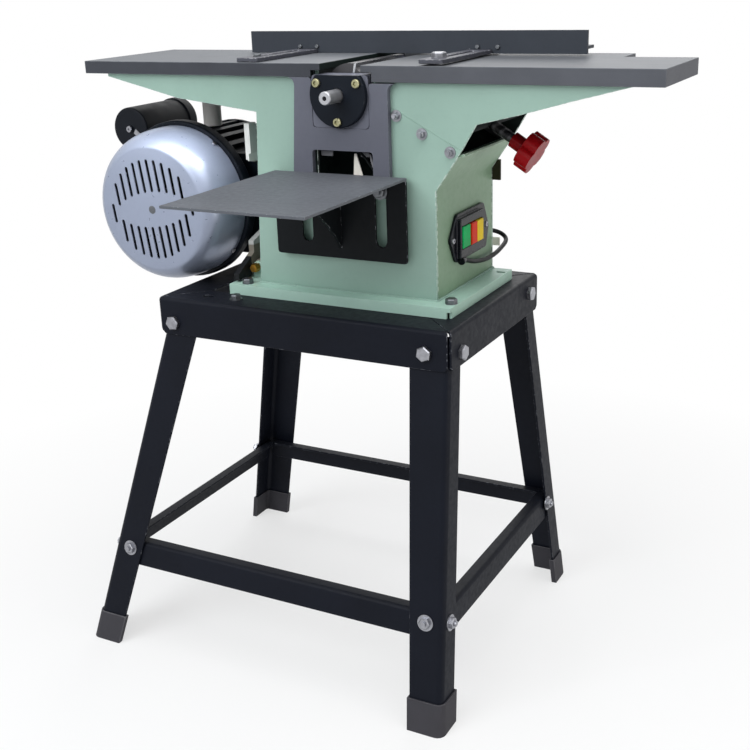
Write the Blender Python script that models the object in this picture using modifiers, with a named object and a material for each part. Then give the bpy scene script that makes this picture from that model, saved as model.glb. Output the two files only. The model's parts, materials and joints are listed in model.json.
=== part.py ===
"""A hand-fed surface planer on its bolted stand: body, two tables, fence, cutter, motor, shelf.

The frame has +X to the right along the tables, +Y to the rear and +Z up. Sizes are in metres.
Everything is placed from the floor and the cutter, and moved at the end so that the origin lies
on the floor under the middle of the whole machine.
"""

import math

import bmesh
import bpy
from mathutils import Matrix, Vector

MM = 0.001
GAP = 0.3 * MM
RUNNING = 0.4 * MM

# Stand: four pressed legs, four pressed aprons, four stretchers, four rubber caps.
STAND_HEIGHT = 500 * MM
STAND_LEFT = -169.3 * MM
STAND_RIGHT = 255 * MM
STAND_DEPTH = 294 * MM
FEET_LEFT = -280.6 * MM
FEET_RIGHT = 277 * MM
FEET_DEPTH = 463.2 * MM
PRESSED_SHEET = 3 * MM
BEND_RADIUS = 5 * MM
APRON_WEB = 50 * MM
APRON_FLANGE = 52 * MM
APRON_END_GAP = 0.8 * MM
CORNER_CLIP = 5 * MM
LEG_TOP_FLANGE = 52 * MM
LEG_FOOT_FLANGE = 44 * MM
LEG_TOP_RETURN = 34 * MM
LEG_FOOT_RETURN = 38 * MM
LEG_CORNER = 9 * MM
STRETCHER_TOP = 153 * MM
STRETCHER_WEB = 33 * MM
STRETCHER_FLANGE = 17 * MM
STRETCHER_END_GAP = 2 * MM
CAP_HEIGHT = 42 * MM
CAP_WALL = 2.2 * MM
CAP_FLOOR = 3 * MM

# Base skirt: an inverted tray that the body is welded to.
BASE_LEFT = -84.6 * MM
BASE_RIGHT = 234.2 * MM
BASE_FRONT = -99.9 * MM
BASE_HEIGHT = 13.8 * MM
BASE_RIM = 28 * MM
HINGE_LUG = 5 * MM
LUG_HALF = 7.3 * MM

# Body: a front and a back plate with tapering arms, joined by a left and a right wall.
BODY_FRONT = -77 * MM
BODY_BACK = 101 * MM
BODY_SHEET = 3.2 * MM
BODY_RIGHT = 206.6 * MM
BODY_LEFT_FOOT = -50 * MM
BODY_LEFT_TOP = -40 * MM
ARM_ROOT_LEFT = 735 * MM
ARM_TIP_LEFT = -272 * MM
ARM_TIP_RIGHT = 442 * MM
ARM_TIP_DEPTH = 4 * MM
ARM_CLEARANCE = 5 * MM
LEAN_START = 649 * MM
LEAN_TOP_X = 241 * MM
LEAN_TOP_Z = 699 * MM
LIP_HEIGHT = 690 * MM
LIP_LENGTH = 8 * MM

# Cutter, its bearing blocks and the slot in the plates that they drop into.
CUTTER_X = 86 * MM
CUTTER_Z = 759 * MM
BLOCK_RADIUS = 35 * MM
BLOCK_FRONT = -57.5 * MM
BLOCK_BACK = 75.5 * MM
SLOT_HALF = 39 * MM
SLOT_FLOOR = 720 * MM
WINDOW_FLOOR = 600 * MM
BEARING_OUTER = 21 * MM
BEARING_INNER = 10 * MM
BEARING_WIDTH = 12 * MM
HOUSING_DEPTH = 25 * MM
HOUSING_TOP = 23.5 * MM
CAP_RADIUS = 38 * MM
CAP_THICKNESS = 7 * MM
SHAFT_END_RADIUS = 8 * MM
SHAFT_END_Y = -121.4 * MM
SHAFT_END_BORE = 2.7 * MM
SHAFT_TAIL = 150 * MM
KNIFE_THICKNESS = 3.2 * MM
KNIFE_DEPTH = 18 * MM
KNIFE_ANGLE = 78
GULLET_RADIUS = 9 * MM

# Grey front frame with the bearing slot, a cross band and two short feet.
FRAME_DEPTH = 8 * MM
FRAME_LEFT = 23 * MM
FRAME_LEFT_FOOT = 14 * MM
FRAME_RIGHT = 150 * MM
FRAME_FOOT = 638 * MM
FRAME_FLARE = 9 * MM
FRAME_WINDOW = (44 * MM, 128 * MM)
BAND_HEIGHT = 27 * MM
FRAME_FILLET = 4 * MM

# Tables.
OUTFEED_TOP = 795.5 * MM
OUTFEED_END = -303 * MM
OUTFEED_RIM = 16 * MM
INFEED_DROP = 1.8 * MM
INFEED_END = 475 * MM
INFEED_RIM = 19 * MM
INFEED_STEP_X = 388 * MM
INFEED_STEP_Y = 58 * MM
TABLE_WALL = 8 * MM
MOUTH_LEFT = 26 * MM
MOUTH_RIGHT = 29 * MM
INFEED_LOWER = 1.2 * MM

# Inclined ways, carriage, height screw and knob.
INCLINE = math.radians(32)
WAY_X = 190 * MM
WAY_Z = 716 * MM
WAY_HALF = 8 * MM
WAY_THICKNESS = 12 * MM
WAY_START = -52 * MM
CARRIAGE_LEFT = 133 * MM
CARRIAGE_RIGHT = 215 * MM
CARRIAGE_WALL = 9 * MM
KNOB_X = 281.4 * MM
KNOB_Z = 697.5 * MM
SCREW_RADIUS = 6 * MM
SCREW_REACH = 115 * MM
HUB_RADIUS = 11 * MM
HUB_HALF = 9 * MM
KNOB_RADIUS = 28 * MM
KNOB_THICKNESS = 18 * MM
KNOB_LOBES = 5
TIE_X = 238 * MM
TIE_RADIUS = 10 * MM

# Fence and its two slotted bars.
FENCE_LEFT = -134 * MM
FENCE_RIGHT = 342 * MM
FENCE_Y = 64 * MM
FENCE_TOP = 823.5 * MM
FENCE_SHEET = 4 * MM
FENCE_FLANGE = 26 * MM
BAR_CENTRES = {"left": -46 * MM, "right": 204 * MM}
BAR_WIDTH = 32 * MM
BAR_THICKNESS = 5 * MM
BAR_FRONT = -82 * MM
BAR_SLOT = 9 * MM

# Mortising shelf.
SHELF_TOP = 665 * MM
SHELF_LEFT = -12 * MM
SHELF_RIGHT = 173 * MM
SHELF_FRONT = -320 * MM
SHELF_FOOT = 560 * MM
SHELF_SHEET = 3.2 * MM
SHELF_SLOT_WIDTH = 15 * MM
SHELF_SLOT_FOOT = 578 * MM
SHELF_SLOT_TOP = 655 * MM
SHELF_SLOTS = (34 * MM, 138.4 * MM)
GUSSET_REACH = 130 * MM

# Motor, slung at the left on a hinged plate, with its fan end to the front.
MOTOR_X = -197 * MM
MOTOR_Z = 606 * MM
COWL_FRONT = -105 * MM
COWL_BACK = -36 * MM
COWL_RADIUS = 102 * MM
COWL_FACE = 80.5 * MM
COWL_SHEET = 1.6 * MM
COWL_SHOULDER = 45 * MM
SLOT_COLUMNS = 12
SLOT_PITCH = 11.9 * MM
SLOT_WIDTH = 4.6 * MM
SLOT_REACH = 67 * MM
SLOT_HEART = 25 * MM
SLOT_LEAN = math.radians(8)
RING_RADIUS = 108 * MM
RING_BACK = -20 * MM
FRAME_RADIUS = 84 * MM
FIN_HEIGHT = 8 * MM
FINS = 32
FRAME_BACK = 113 * MM
ROTOR_RADIUS = 44 * MM
MOTOR_SHAFT = 12 * MM
FAN_RADIUS = 78 * MM
FAN_BLADES = 8
FOOT_X = -84 * MM
FOOT_RISE = 62 * MM
FOOT_DROP = 76 * MM
PLATE_THICKNESS = 8 * MM
PLATE_FRONT = -42 * MM
PLATE_TOP = 715 * MM
PLATE_TOE = -89 * MM
PLATE_SHOULDER = 561 * MM
HINGE_X = -68 * MM
HINGE_RADIUS = 9 * MM
HINGE_PIN = 4.5 * MM
CAPACITOR_X = -291 * MM
CAPACITOR_Z = 697.6 * MM
CAPACITOR_RADIUS = 29.5 * MM
CAPACITOR_FRONT = -19.5 * MM
CAPACITOR_BACK = 100 * MM
BOOT_THICKNESS = 2 * MM
BOOT_LENGTH = 22 * MM
STAY_X = -192 * MM
STAY_Y = 40 * MM
STAY_RADIUS = 12.8 * MM

# Belt drive behind the body, under its guard.
BELT_Y = 135 * MM
BELT_WIDTH = 10 * MM
BELT_THICKNESS = 7 * MM
CUTTER_PULLEY = 30 * MM
MOTOR_PULLEY = 45 * MM
PULLEY_CHEEK = 4 * MM
GUARD_MARGIN = 14 * MM
GUARD_SHEET = 2 * MM
GUARD_FRONT = 119 * MM
GUARD_BACK = 160 * MM
POST_RADIUS = 5.5 * MM

# Switch on the right wall, and the cable that leaves it.
SWITCH_MIDDLE = (12 * MM, 581 * MM)
SWITCH_FLANGE = 4 * MM
SWITCH_CORNERS = ((-57, 1), (-40, -30), (56, -30), (65, -3), (48, 30), (-37, 30))
SWITCH_FRAME = (-38 * MM, 38 * MM, -25 * MM, 24.5 * MM)
SWITCH_PROUD = 10 * MM
SWITCH_BOX_DEPTH = 32 * MM
SWITCH_RIM = 3 * MM
BUTTON_SPAN = (-13 * MM, 14.5 * MM)
BUTTON_TRAVEL = 3 * MM
BUTTONS = {
    "green": (-34 * MM, -10.1 * MM, 11 * MM),
    "red": (-10.1 * MM, 8.1 * MM, 12.5 * MM),
    "yellow": (8.1 * MM, 27.5 * MM, 12.5 * MM),
}
CABLE_DIAMETER = 6 * MM
CABLE_OFF_WALL = 7.7 * MM

BASE_TOP = STAND_HEIGHT + BASE_HEIGHT
BODY_FOOT = BASE_TOP + GAP
INFEED_TOP = OUTFEED_TOP - INFEED_DROP
OUTFEED_UNDER = OUTFEED_TOP - TABLE_WALL
INFEED_UNDER = INFEED_TOP - TABLE_WALL
TABLE_FRONT = BODY_FRONT - FRAME_DEPTH
TABLE_BACK = BODY_BACK + FRAME_DEPTH
HOUSING_LID = CUTTER_Z + HOUSING_TOP
KNIFE_CIRCLE = OUTFEED_TOP - CUTTER_Z
INNER_FRONT = BODY_FRONT + BODY_SHEET
INNER_BACK = BODY_BACK - BODY_SHEET
FENCE_FLOOR = OUTFEED_TOP + GAP
BAR_TOP = FENCE_FLOOR + BAR_THICKNESS
SLOPE = Vector((math.cos(INCLINE), 0, -math.sin(INCLINE)))
SQUARE_TO_SLOPE = Vector((math.sin(INCLINE), 0, math.cos(INCLINE)))

FINISHES = {
    "green_enamel": ("93B0A3", 0.45, 0.0),
    "stand_enamel": ("1E1F24", 0.5, 0.0),
    "frame_grey": ("62646E", 0.5, 0.0),
    "table_steel": ("77787A", 0.4, 0.9),
    "fence_grey": ("3F434B", 0.5, 0.2),
    "shelf_grey": ("62656D", 0.5, 0.0),
    "bright_steel": ("B8B8BE", 0.3, 1.0),
    "cast_iron": ("5A5C60", 0.6, 0.8),
    "black_enamel": ("1C2229", 0.4, 0.0),
    "silver_paint": ("9EA8C2", 0.4, 0.3),
    "rubber": ("3E3D43", 0.8, 0.0),
    "black_plastic": ("1A1C20", 0.4, 0.0),
    "crimson_plastic": ("A81E20", 0.25, 0.0),
    "green_plastic": ("10A85C", 0.4, 0.0),
    "red_plastic": ("C93A1E", 0.4, 0.0),
    "yellow_plastic": ("E8C81E", 0.4, 0.0),
    "grey_paint": ("B9BABB", 0.5, 0.0),
}


def linear(channel):
    """One sRGB channel from 0 to 1 as linear light."""
    if channel <= 0.04045:
        return channel / 12.92
    return ((channel + 0.055) / 1.055) ** 2.4


def finish_material(name):
    """The material of this name, made the first time it is asked for."""
    found = bpy.data.materials.get(name)
    if found:
        return found
    hex_colour, roughness, metallic = FINISHES[name]
    channels = [linear(int(hex_colour[i : i + 2], 16) / 255) for i in (0, 2, 4)]
    material = bpy.data.materials.new(name)
    material.use_nodes = True
    shader = material.node_tree.nodes["Principled BSDF"]
    shader.inputs["Base Color"].default_value = (*channels, 1)
    shader.inputs["Roughness"].default_value = roughness
    shader.inputs["Metallic"].default_value = metallic
    material.diffuse_color = (*channels, 1)
    return material


def clear_scene():
    for obj in list(bpy.data.objects):
        bpy.data.objects.remove(obj, do_unlink=True)


def parts_collection():
    """The collection that holds the finished pieces."""
    found = bpy.data.collections.get("surface_planer")
    if found is None:
        found = bpy.data.collections.new("surface_planer")
        bpy.context.scene.collection.children.link(found)
    return found


def object_of(mesh, name="shape"):
    obj = bpy.data.objects.new(name, mesh)
    bpy.context.scene.collection.objects.link(obj)
    return obj


def baked(obj):
    """A plain mesh object in world space from what obj evaluates to. obj is removed."""
    bpy.context.view_layer.update()
    graph = bpy.context.evaluated_depsgraph_get()
    evaluated = obj.evaluated_get(graph)
    mesh = bpy.data.meshes.new_from_object(evaluated, depsgraph=graph)
    mesh.transform(obj.matrix_world)
    bpy.data.objects.remove(obj, do_unlink=True)
    bm = bmesh.new()
    bm.from_mesh(mesh)
    bmesh.ops.remove_doubles(bm, verts=bm.verts, dist=0.00001)
    bmesh.ops.recalc_face_normals(bm, faces=bm.faces)
    bm.to_mesh(mesh)
    bm.free()
    return object_of(mesh)


def mesh_from(bm):
    """An object from a bmesh, with its faces turned outwards."""
    bmesh.ops.recalc_face_normals(bm, faces=bm.faces)
    mesh = bpy.data.meshes.new("shape")
    bm.to_mesh(mesh)
    bm.free()
    return object_of(mesh)


def block(low, high):
    """A box between two corners."""
    low, high = Vector(low), Vector(high)
    bm = bmesh.new()
    bmesh.ops.create_cube(bm, size=1)
    size = Matrix.Diagonal((*(high - low), 1))
    bmesh.ops.transform(bm, matrix=Matrix.Translation((low + high) / 2) @ size, verts=bm.verts)
    return mesh_from(bm)


def facing(axis):
    """The rotation that turns +Z to this direction."""
    return Vector((0, 0, 1)).rotation_difference(Vector(axis)).to_matrix().to_4x4()


def rod(start, end, radius, segments=24):
    """A solid cylinder between two points."""
    start, end = Vector(start), Vector(end)
    bm = bmesh.new()
    bmesh.ops.create_cone(
        bm,
        cap_ends=True,
        segments=segments,
        radius1=radius,
        radius2=radius,
        depth=(end - start).length,
    )
    turn = facing(end - start)
    bmesh.ops.transform(bm, matrix=Matrix.Translation((start + end) / 2) @ turn, verts=bm.verts)
    return mesh_from(bm)


def turned(profile, centre, axis=(0, 1, 0), segments=48):
    """A solid of revolution. The profile is (radius, distance along the axis from the centre)."""
    mesh = bpy.data.meshes.new("profile")
    points = [(radius, 0, along) for radius, along in profile]
    closed = profile[0][0] > 0 or profile[-1][0] > 0
    edges = [(i, i + 1) for i in range(len(points) - 1)]
    if closed:
        edges.append((len(points) - 1, 0))
    mesh.from_pydata(points, edges, [])
    obj = object_of(mesh)
    screw = obj.modifiers.new("turn", "SCREW")
    screw.steps = segments
    screw.render_steps = segments
    screw.use_merge_vertices = True
    screw.merge_threshold = 0.00001
    obj.matrix_world = Matrix.Translation(Vector(centre)) @ facing(axis)
    return baked(obj)


def sheet(loops, plane, low, high):
    """A flat sheet: outlines in a plane, filled, between two distances along the plane's normal."""
    curve = bpy.data.curves.new("outline", "CURVE")
    curve.dimensions = "2D"
    curve.fill_mode = "BOTH"
    curve.extrude = (high - low) / 2
    for loop in loops:
        spline = curve.splines.new("POLY")
        spline.points.add(len(loop) - 1)
        for point, (u, v) in zip(spline.points, loop):
            point.co = (u, v, 0, 1)
        spline.use_cyclic_u = True
    obj = bpy.data.objects.new("outline", curve)
    bpy.context.scene.collection.objects.link(obj)
    middle = (low + high) / 2
    turns = {
        "XY": Matrix.Translation((0, 0, middle)),
        "XZ": Matrix.Translation((0, middle, 0)) @ Matrix.Rotation(math.radians(90), 4, "X"),
        "YZ": Matrix.Translation((middle, 0, 0))
        @ Matrix.Rotation(math.radians(90), 4, "Z")
        @ Matrix.Rotation(math.radians(90), 4, "X"),
    }
    obj.matrix_world = turns[plane]
    return baked(obj)


def boolean(target, others, operation):
    """The target joined with, or cut by, the others, which are used up."""
    for other in others:
        modifier = target.modifiers.new(operation.lower(), "BOOLEAN")
        modifier.operation = operation
        modifier.solver = "EXACT"
        modifier.object = other
    result = baked(target)
    for other in others:
        bpy.data.objects.remove(other, do_unlink=True)
    return result


def cut(target, *cutters):
    return boolean(target, cutters, "DIFFERENCE")


def joined(target, *others):
    return boolean(target, others, "UNION")


def softened(obj, width, segments=2, angle=40):
    """The object with its sharp edges rounded."""
    bevel = obj.modifiers.new("edges", "BEVEL")
    bevel.width = width
    bevel.segments = segments
    bevel.limit_method = "ANGLE"
    bevel.angle_limit = math.radians(angle)
    return baked(obj)


def part(obj, name, finish, origin=(0, 0, 0)):
    """Names a finished piece, gives it its material and puts its origin on its joint's axis."""
    obj.name = name
    obj.data.name = name
    origin = Vector(origin)
    obj.data.transform(Matrix.Translation(-origin))
    obj.location = origin
    obj.data.materials.clear()
    obj.data.materials.append(finish_material(finish))
    obj.data.shade_smooth()
    obj.data.set_sharp_from_angle(angle=math.radians(30))
    bpy.context.scene.collection.objects.unlink(obj)
    parts_collection().objects.link(obj)
    return obj


def arc(centre, radius, start, end, steps):
    """Points on an arc, its angles in degrees."""
    found = []
    for i in range(steps + 1):
        angle = math.radians(start + (end - start) * i / steps)
        found.append((centre[0] + radius * math.cos(angle), centre[1] + radius * math.sin(angle)))
    return found


def rectangle(u0, u1, v0, v1):
    return [(u0, v0), (u1, v0), (u1, v1), (u0, v1)]


def filleted(corners, radius, steps=3):
    """An outline with its corners rounded, each as far as its shorter side lets it."""
    found = []
    for i, corner in enumerate(corners):
        here = Vector(corner)
        back = Vector(corners[i - 1]) - here
        ahead = Vector(corners[(i + 1) % len(corners)]) - here
        reach = min(radius, back.length * 0.45, ahead.length * 0.45)
        start = here + back.normalized() * reach
        end = here + ahead.normalized() * reach
        for step in range(steps + 1):
            t = step / steps
            point = start * (1 - t) ** 2 + here * 2 * t * (1 - t) + end * t**2
            found.append((point.x, point.y))
    return found


def stadium(start, end, width, steps=4):
    """A slot with round ends, from the centre of one end to the centre of the other."""
    run = Vector(end) - Vector(start)
    angle = math.degrees(math.atan2(run.y, run.x))
    head = arc(end, width / 2, angle - 90, angle + 90, steps)
    tail = arc(start, width / 2, angle + 90, angle + 270, steps)
    return head + tail


def strip(points, thickness):
    """The outline of a bent sheet: a line of points, and the same line moved to its left."""
    points = [Vector(point) for point in points]
    moved = []
    for i, point in enumerate(points):
        before = (point - points[i - 1]).normalized() if i else None
        after = (points[i + 1] - point).normalized() if i + 1 < len(points) else None
        before = before or after
        after = after or before
        along = (before + after).normalized()
        normal = Vector((-along.y, along.x))
        spread = normal.dot(Vector((-before.y, before.x)))
        moved.append(point + normal * thickness / spread)
    return [tuple(point) for point in points] + [tuple(point) for point in reversed(moved)]


def loft(sections):
    """A closed solid through like outlines, each a loop of points in space."""
    bm = bmesh.new()
    rings = [[bm.verts.new(point) for point in section] for section in sections]
    count = len(rings[0])
    for lower, upper in zip(rings, rings[1:]):
        for i in range(count):
            bm.faces.new((lower[i], lower[(i + 1) % count], upper[(i + 1) % count], upper[i]))
    bm.faces.new(reversed(rings[0]))
    bm.faces.new(rings[-1])
    bmesh.ops.triangulate(bm, faces=[f for f in bm.faces if len(f.verts) > 4])
    return mesh_from(bm)


# Stand


def splayed(z, at_top, at_floor):
    """Where a leg's outer face is at this height. The leg stands upright inside the aprons."""
    knee = STAND_HEIGHT - APRON_WEB
    if z >= knee:
        return at_top
    return at_floor + (at_top - at_floor) * z / knee


def leg_faces(z):
    """The outer faces of the legs at this height: left, right, front and rear."""
    inset = PRESSED_SHEET + GAP
    sleeve = CAP_WALL + GAP
    half_depth = FEET_DEPTH / 2 - sleeve
    rear = splayed(z, STAND_DEPTH / 2 - inset, half_depth)
    return {
        "left": splayed(z, STAND_LEFT + inset, FEET_LEFT + sleeve),
        "right": splayed(z, STAND_RIGHT - inset, FEET_RIGHT - sleeve),
        "front": -rear,
        "rear": rear,
    }


def leg_section(z, side, end, grow, wall=PRESSED_SHEET):
    """The L-shaped section of one leg at a height, grown outwards and inwards by grow."""
    faces = leg_faces(z)
    knee = STAND_HEIGHT - APRON_WEB
    share = min(z / knee, 1)
    long = LEG_FOOT_FLANGE + (LEG_TOP_FLANGE - LEG_FOOT_FLANGE) * share + 2 * grow
    short = LEG_FOOT_RETURN + (LEG_TOP_RETURN - LEG_FOOT_RETURN) * share + 2 * grow
    corner = LEG_CORNER + grow
    thick = wall + 2 * grow
    outer = arc((corner, corner), corner, 270, 180, 4)
    inner = arc((corner, corner), corner - thick, 180, 270, 4)
    outline = [(long, 0), *outer, (0, short), (thick, short), *inner, (long, thick)]
    across = 1 if side == "left" else -1
    along = 1 if end == "front" else -1
    return [
        (faces[side] + across * (u - grow), faces[end] + along * (v - grow), z)
        for u, v in outline
    ]


def make_legs():
    knee = STAND_HEIGHT - APRON_WEB
    foot = CAP_FLOOR + GAP
    top = STAND_HEIGHT - PRESSED_SHEET - BEND_RADIUS
    for end in ("front", "rear"):
        for side in ("left", "right"):
            leg = loft([leg_section(z, side, end, 0) for z in (foot, knee, top)])
            part(leg, f"leg_{end}_{side}", "stand_enamel")
            sleeve = CAP_WALL + GAP
            shell = loft([leg_section(z, side, end, sleeve) for z in (0, CAP_HEIGHT)])
            high = CAP_HEIGHT + 10 * MM
            pocket = loft([leg_section(z, side, end, GAP) for z in (CAP_FLOOR, high)])
            part(cut(shell, pocket), f"foot_cap_{end}_{side}", "rubber")


SIDE_MAPS = {
    "front": lambda s, depth, faces: (s, faces["front"] + depth),
    "right": lambda s, depth, faces: (faces["right"] - depth, s),
    "rear": lambda s, depth, faces: (-s, faces["rear"] - depth),
    "left": lambda s, depth, faces: (faces["left"] + depth, -s),
}
SIDE_ENDS = {
    "front": lambda faces: (faces["left"], faces["right"]),
    "right": lambda faces: (faces["front"], faces["rear"]),
    "rear": lambda faces: (-faces["right"], -faces["left"]),
    "left": lambda faces: (-faces["rear"], -faces["front"]),
}


def pressed_rail(side, profile, faces_at):
    """A pressed angle along one side, its ends mitred to meet its neighbours.

    The profile is (depth from the outer face, height, how far in each end stops there).
    """
    bm = bmesh.new()
    rows = []
    for depth, z, inset in profile:
        faces = faces_at(z)
        start, end = SIDE_ENDS[side](faces)
        row = []
        for s in (start + inset, end - inset):
            x, y = SIDE_MAPS[side](s, depth, faces)
            row.append(bm.verts.new((x, y, z)))
        rows.append(row)
    for lower, upper in zip(rows, rows[1:]):
        bm.faces.new((lower[0], lower[1], upper[1], upper[0]))
    mesh = bpy.data.meshes.new("rail")
    bm.to_mesh(mesh)
    bm.free()
    obj = object_of(mesh)
    wall = obj.modifiers.new("wall", "SOLIDIFY")
    wall.thickness = PRESSED_SHEET
    wall.offset = -1
    wall.use_even_offset = True
    return baked(obj)


def bent_profile(web_foot, top, flange, clip, end_gap):
    """The outer side of an angle: up the web, round the bend and in along the flange.

    Each end stops end_gap short of its neighbour's inner face.
    """
    web_inset = PRESSED_SHEET + end_gap
    rows = [(0, web_foot, web_inset + clip), (0, web_foot + clip, web_inset)]
    inner = BEND_RADIUS - PRESSED_SHEET
    for depth, z in arc((BEND_RADIUS, top - BEND_RADIUS), BEND_RADIUS, 180, 90, 3):
        share = (BEND_RADIUS - depth) / BEND_RADIUS
        rows.append((depth, z, BEND_RADIUS - inner * share + end_gap))
    rows.append((flange, top, flange + end_gap))
    return rows


def apron_faces(z):
    return {
        "left": STAND_LEFT,
        "right": STAND_RIGHT,
        "front": -STAND_DEPTH / 2,
        "rear": STAND_DEPTH / 2,
    }


def stretcher_faces(z):
    """The faces that the stretchers lie against: the insides of the legs."""
    faces = leg_faces(z)
    inset = PRESSED_SHEET + 2 * GAP
    return {
        "left": faces["left"] + inset,
        "right": faces["right"] - inset,
        "front": faces["front"] + inset,
        "rear": faces["rear"] - inset,
    }


def make_rails():
    foot, top = STAND_HEIGHT - APRON_WEB, STAND_HEIGHT
    apron = bent_profile(foot, top, APRON_FLANGE, CORNER_CLIP, APRON_END_GAP)
    foot, top = STRETCHER_TOP - STRETCHER_WEB, STRETCHER_TOP
    stretcher = bent_profile(foot, top, STRETCHER_FLANGE, CORNER_CLIP, STRETCHER_END_GAP)
    for side in SIDE_MAPS:
        part(pressed_rail(side, apron, apron_faces), f"apron_{side}", "stand_enamel")
        rail = pressed_rail(side, stretcher, stretcher_faces)
        part(rail, f"stretcher_{side}", "stand_enamel")


# Base and body


def make_base():
    """An inverted tray, open at its left end and under the cutter, with the motor's hinge pin."""
    lip_foot = STAND_HEIGHT + GAP
    bm = bmesh.new()
    rim = BASE_RIM / 2
    hole = (
        BODY_LEFT_FOOT + BASE_RIM,
        BODY_RIGHT - BASE_RIM,
        INNER_FRONT + rim,
        INNER_BACK - rim,
    )
    corners = rectangle(BASE_LEFT, BASE_RIGHT, BASE_FRONT, BODY_BACK)
    outer = [bm.verts.new((x, y, BASE_TOP)) for x, y in corners]
    inner = [bm.verts.new((x, y, BASE_TOP)) for x, y in rectangle(*hole)]
    lips = [bm.verts.new((x, y, lip_foot)) for x, y in corners]
    for i in range(4):
        j = (i + 1) % 4
        bm.faces.new((outer[i], outer[j], inner[j], inner[i]))
        if i < 3:
            bm.faces.new((lips[i], lips[j], outer[j], outer[i]))
    mesh = bpy.data.meshes.new("tray")
    bm.to_mesh(mesh)
    bm.free()
    tray = object_of(mesh)
    wall = tray.modifiers.new("wall", "SOLIDIFY")
    wall.thickness = PRESSED_SHEET
    wall.offset = -1
    wall.use_even_offset = True
    tray = baked(tray)
    hinge_z = hinge_height()
    front, back = hinge_span()
    lugs = []
    for y in (front, back):
        side = -1 if y < 0 else 1
        near, far = sorted((y + side * GAP, y + side * HINGE_LUG))
        low = BASE_TOP - PRESSED_SHEET / 2
        corners = [(HINGE_X - LUG_HALF, low), (HINGE_X + LUG_HALF, low)]
        outline = corners + arc((HINGE_X, hinge_z), LUG_HALF, 0, 180, 8)
        lugs.append(sheet([outline], "XZ", near, far))
    reach = HINGE_LUG * 0.8
    pin = rod((HINGE_X, front - reach, hinge_z), (HINGE_X, back + reach, hinge_z), HINGE_PIN)
    notch = 5 * MM
    slit = block(
        (BASE_RIGHT - notch, BASE_FRONT - notch, lip_foot - notch),
        (BASE_RIGHT + notch, BASE_FRONT + notch, BASE_TOP - notch),
    )
    part(cut(joined(tray, *lugs, pin), slit), "base_skirt", "green_enamel")


def hinge_height():
    return BASE_TOP + HINGE_RADIUS + 5 * MM


def hinge_span():
    """Where the motor plate's hinge barrel starts and ends along Y."""
    return BASE_FRONT / 2, BODY_BACK - 2 * HINGE_LUG - GAP


def lean_x(z):
    """The outer face of the right wall and the right edge of the plates at a height."""
    if z <= LEAN_START:
        return BODY_RIGHT
    return BODY_RIGHT + (LEAN_TOP_X - BODY_RIGHT) * (z - LEAN_START) / (LEAN_TOP_Z - LEAN_START)


def plate_outline(tip_x):
    """A body plate with its two arms, the bearing slot and the window under it, from the left foot.

    The right arm is cut off upright at tip_x.
    """
    left_top = OUTFEED_UNDER - GAP
    right_top = INFEED_UNDER - INFEED_LOWER - RUNNING
    tip_left = OUTFEED_TOP - OUTFEED_RIM - GAP
    tip_right = INFEED_TOP - INFEED_RIM
    reach = ARM_TIP_RIGHT - LEAN_TOP_X
    rise = tip_right - LEAN_TOP_Z
    shares = [(0.09, 0.39), (0.36, 0.56), (0.64, 0.76), (1, 1)]
    right_arm = [(LEAN_TOP_X + u * reach, LEAN_TOP_Z + v * rise) for u, v in shares]
    if tip_x < ARM_TIP_RIGHT:
        (x0, z0), (x1, z1) = right_arm[-2:]
        right_arm[-1] = (tip_x, z0 + (z1 - z0) * (tip_x - x0) / (x1 - x0))
    bend_x = BODY_LEFT_TOP + 0.52 * (ARM_TIP_LEFT - BODY_LEFT_TOP)
    bend_z = ARM_ROOT_LEFT + 0.36 * (tip_left - ARM_TIP_DEPTH - ARM_ROOT_LEFT)
    return [
        (BODY_LEFT_FOOT, BODY_FOOT),
        (BODY_RIGHT, BODY_FOOT),
        (BODY_RIGHT, LEAN_START),
        (LEAN_TOP_X, LEAN_TOP_Z),
        *right_arm,
        (tip_x, right_top),
        (CUTTER_X + SLOT_HALF, right_top),
        (CUTTER_X + SLOT_HALF, WINDOW_FLOOR),
        (CUTTER_X - SLOT_HALF, WINDOW_FLOOR),
        (CUTTER_X - SLOT_HALF, left_top),
        (ARM_TIP_LEFT, left_top),
        (ARM_TIP_LEFT, tip_left - ARM_TIP_DEPTH),
        (bend_x, bend_z),
        (BODY_LEFT_TOP, ARM_ROOT_LEFT),
    ]


def make_plates():
    front = sheet([plate_outline(ARM_TIP_RIGHT)], "XZ", BODY_FRONT, INNER_FRONT)
    part(front, "front_plate", "green_enamel")
    tip = INFEED_STEP_X - TABLE_WALL - ARM_CLEARANCE
    back = sheet([plate_outline(tip)], "XZ", INNER_BACK, BODY_BACK)
    part(back, "back_plate", "green_enamel")


def make_walls():
    """The walls stand between the plates. The right one leans out to a bent lip."""
    near, far = INNER_FRONT + GAP, INNER_BACK - GAP
    lip_x = lean_x(LIP_HEIGHT)
    line = [
        (BODY_RIGHT, BODY_FOOT),
        (BODY_RIGHT, LEAN_START),
        (lip_x, LIP_HEIGHT),
        (lip_x + LIP_LENGTH, LIP_HEIGHT + 1 * MM),
    ]
    wall = sheet([strip(line, BODY_SHEET)], "XZ", near, far)
    low_y, high_y, low_z, high_z = switch_box_span(GAP)
    hole = block((BODY_RIGHT - 3 * BODY_SHEET, low_y, low_z), (BODY_RIGHT + BODY_SHEET, high_y, high_z))
    part(cut(wall, hole), "right_wall", "green_enamel")
    line = [(BODY_LEFT_TOP, ARM_ROOT_LEFT), (BODY_LEFT_FOOT, BODY_FOOT)]
    part(sheet([strip(line, BODY_SHEET)], "XZ", near, far), "left_wall", "green_enamel")


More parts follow.
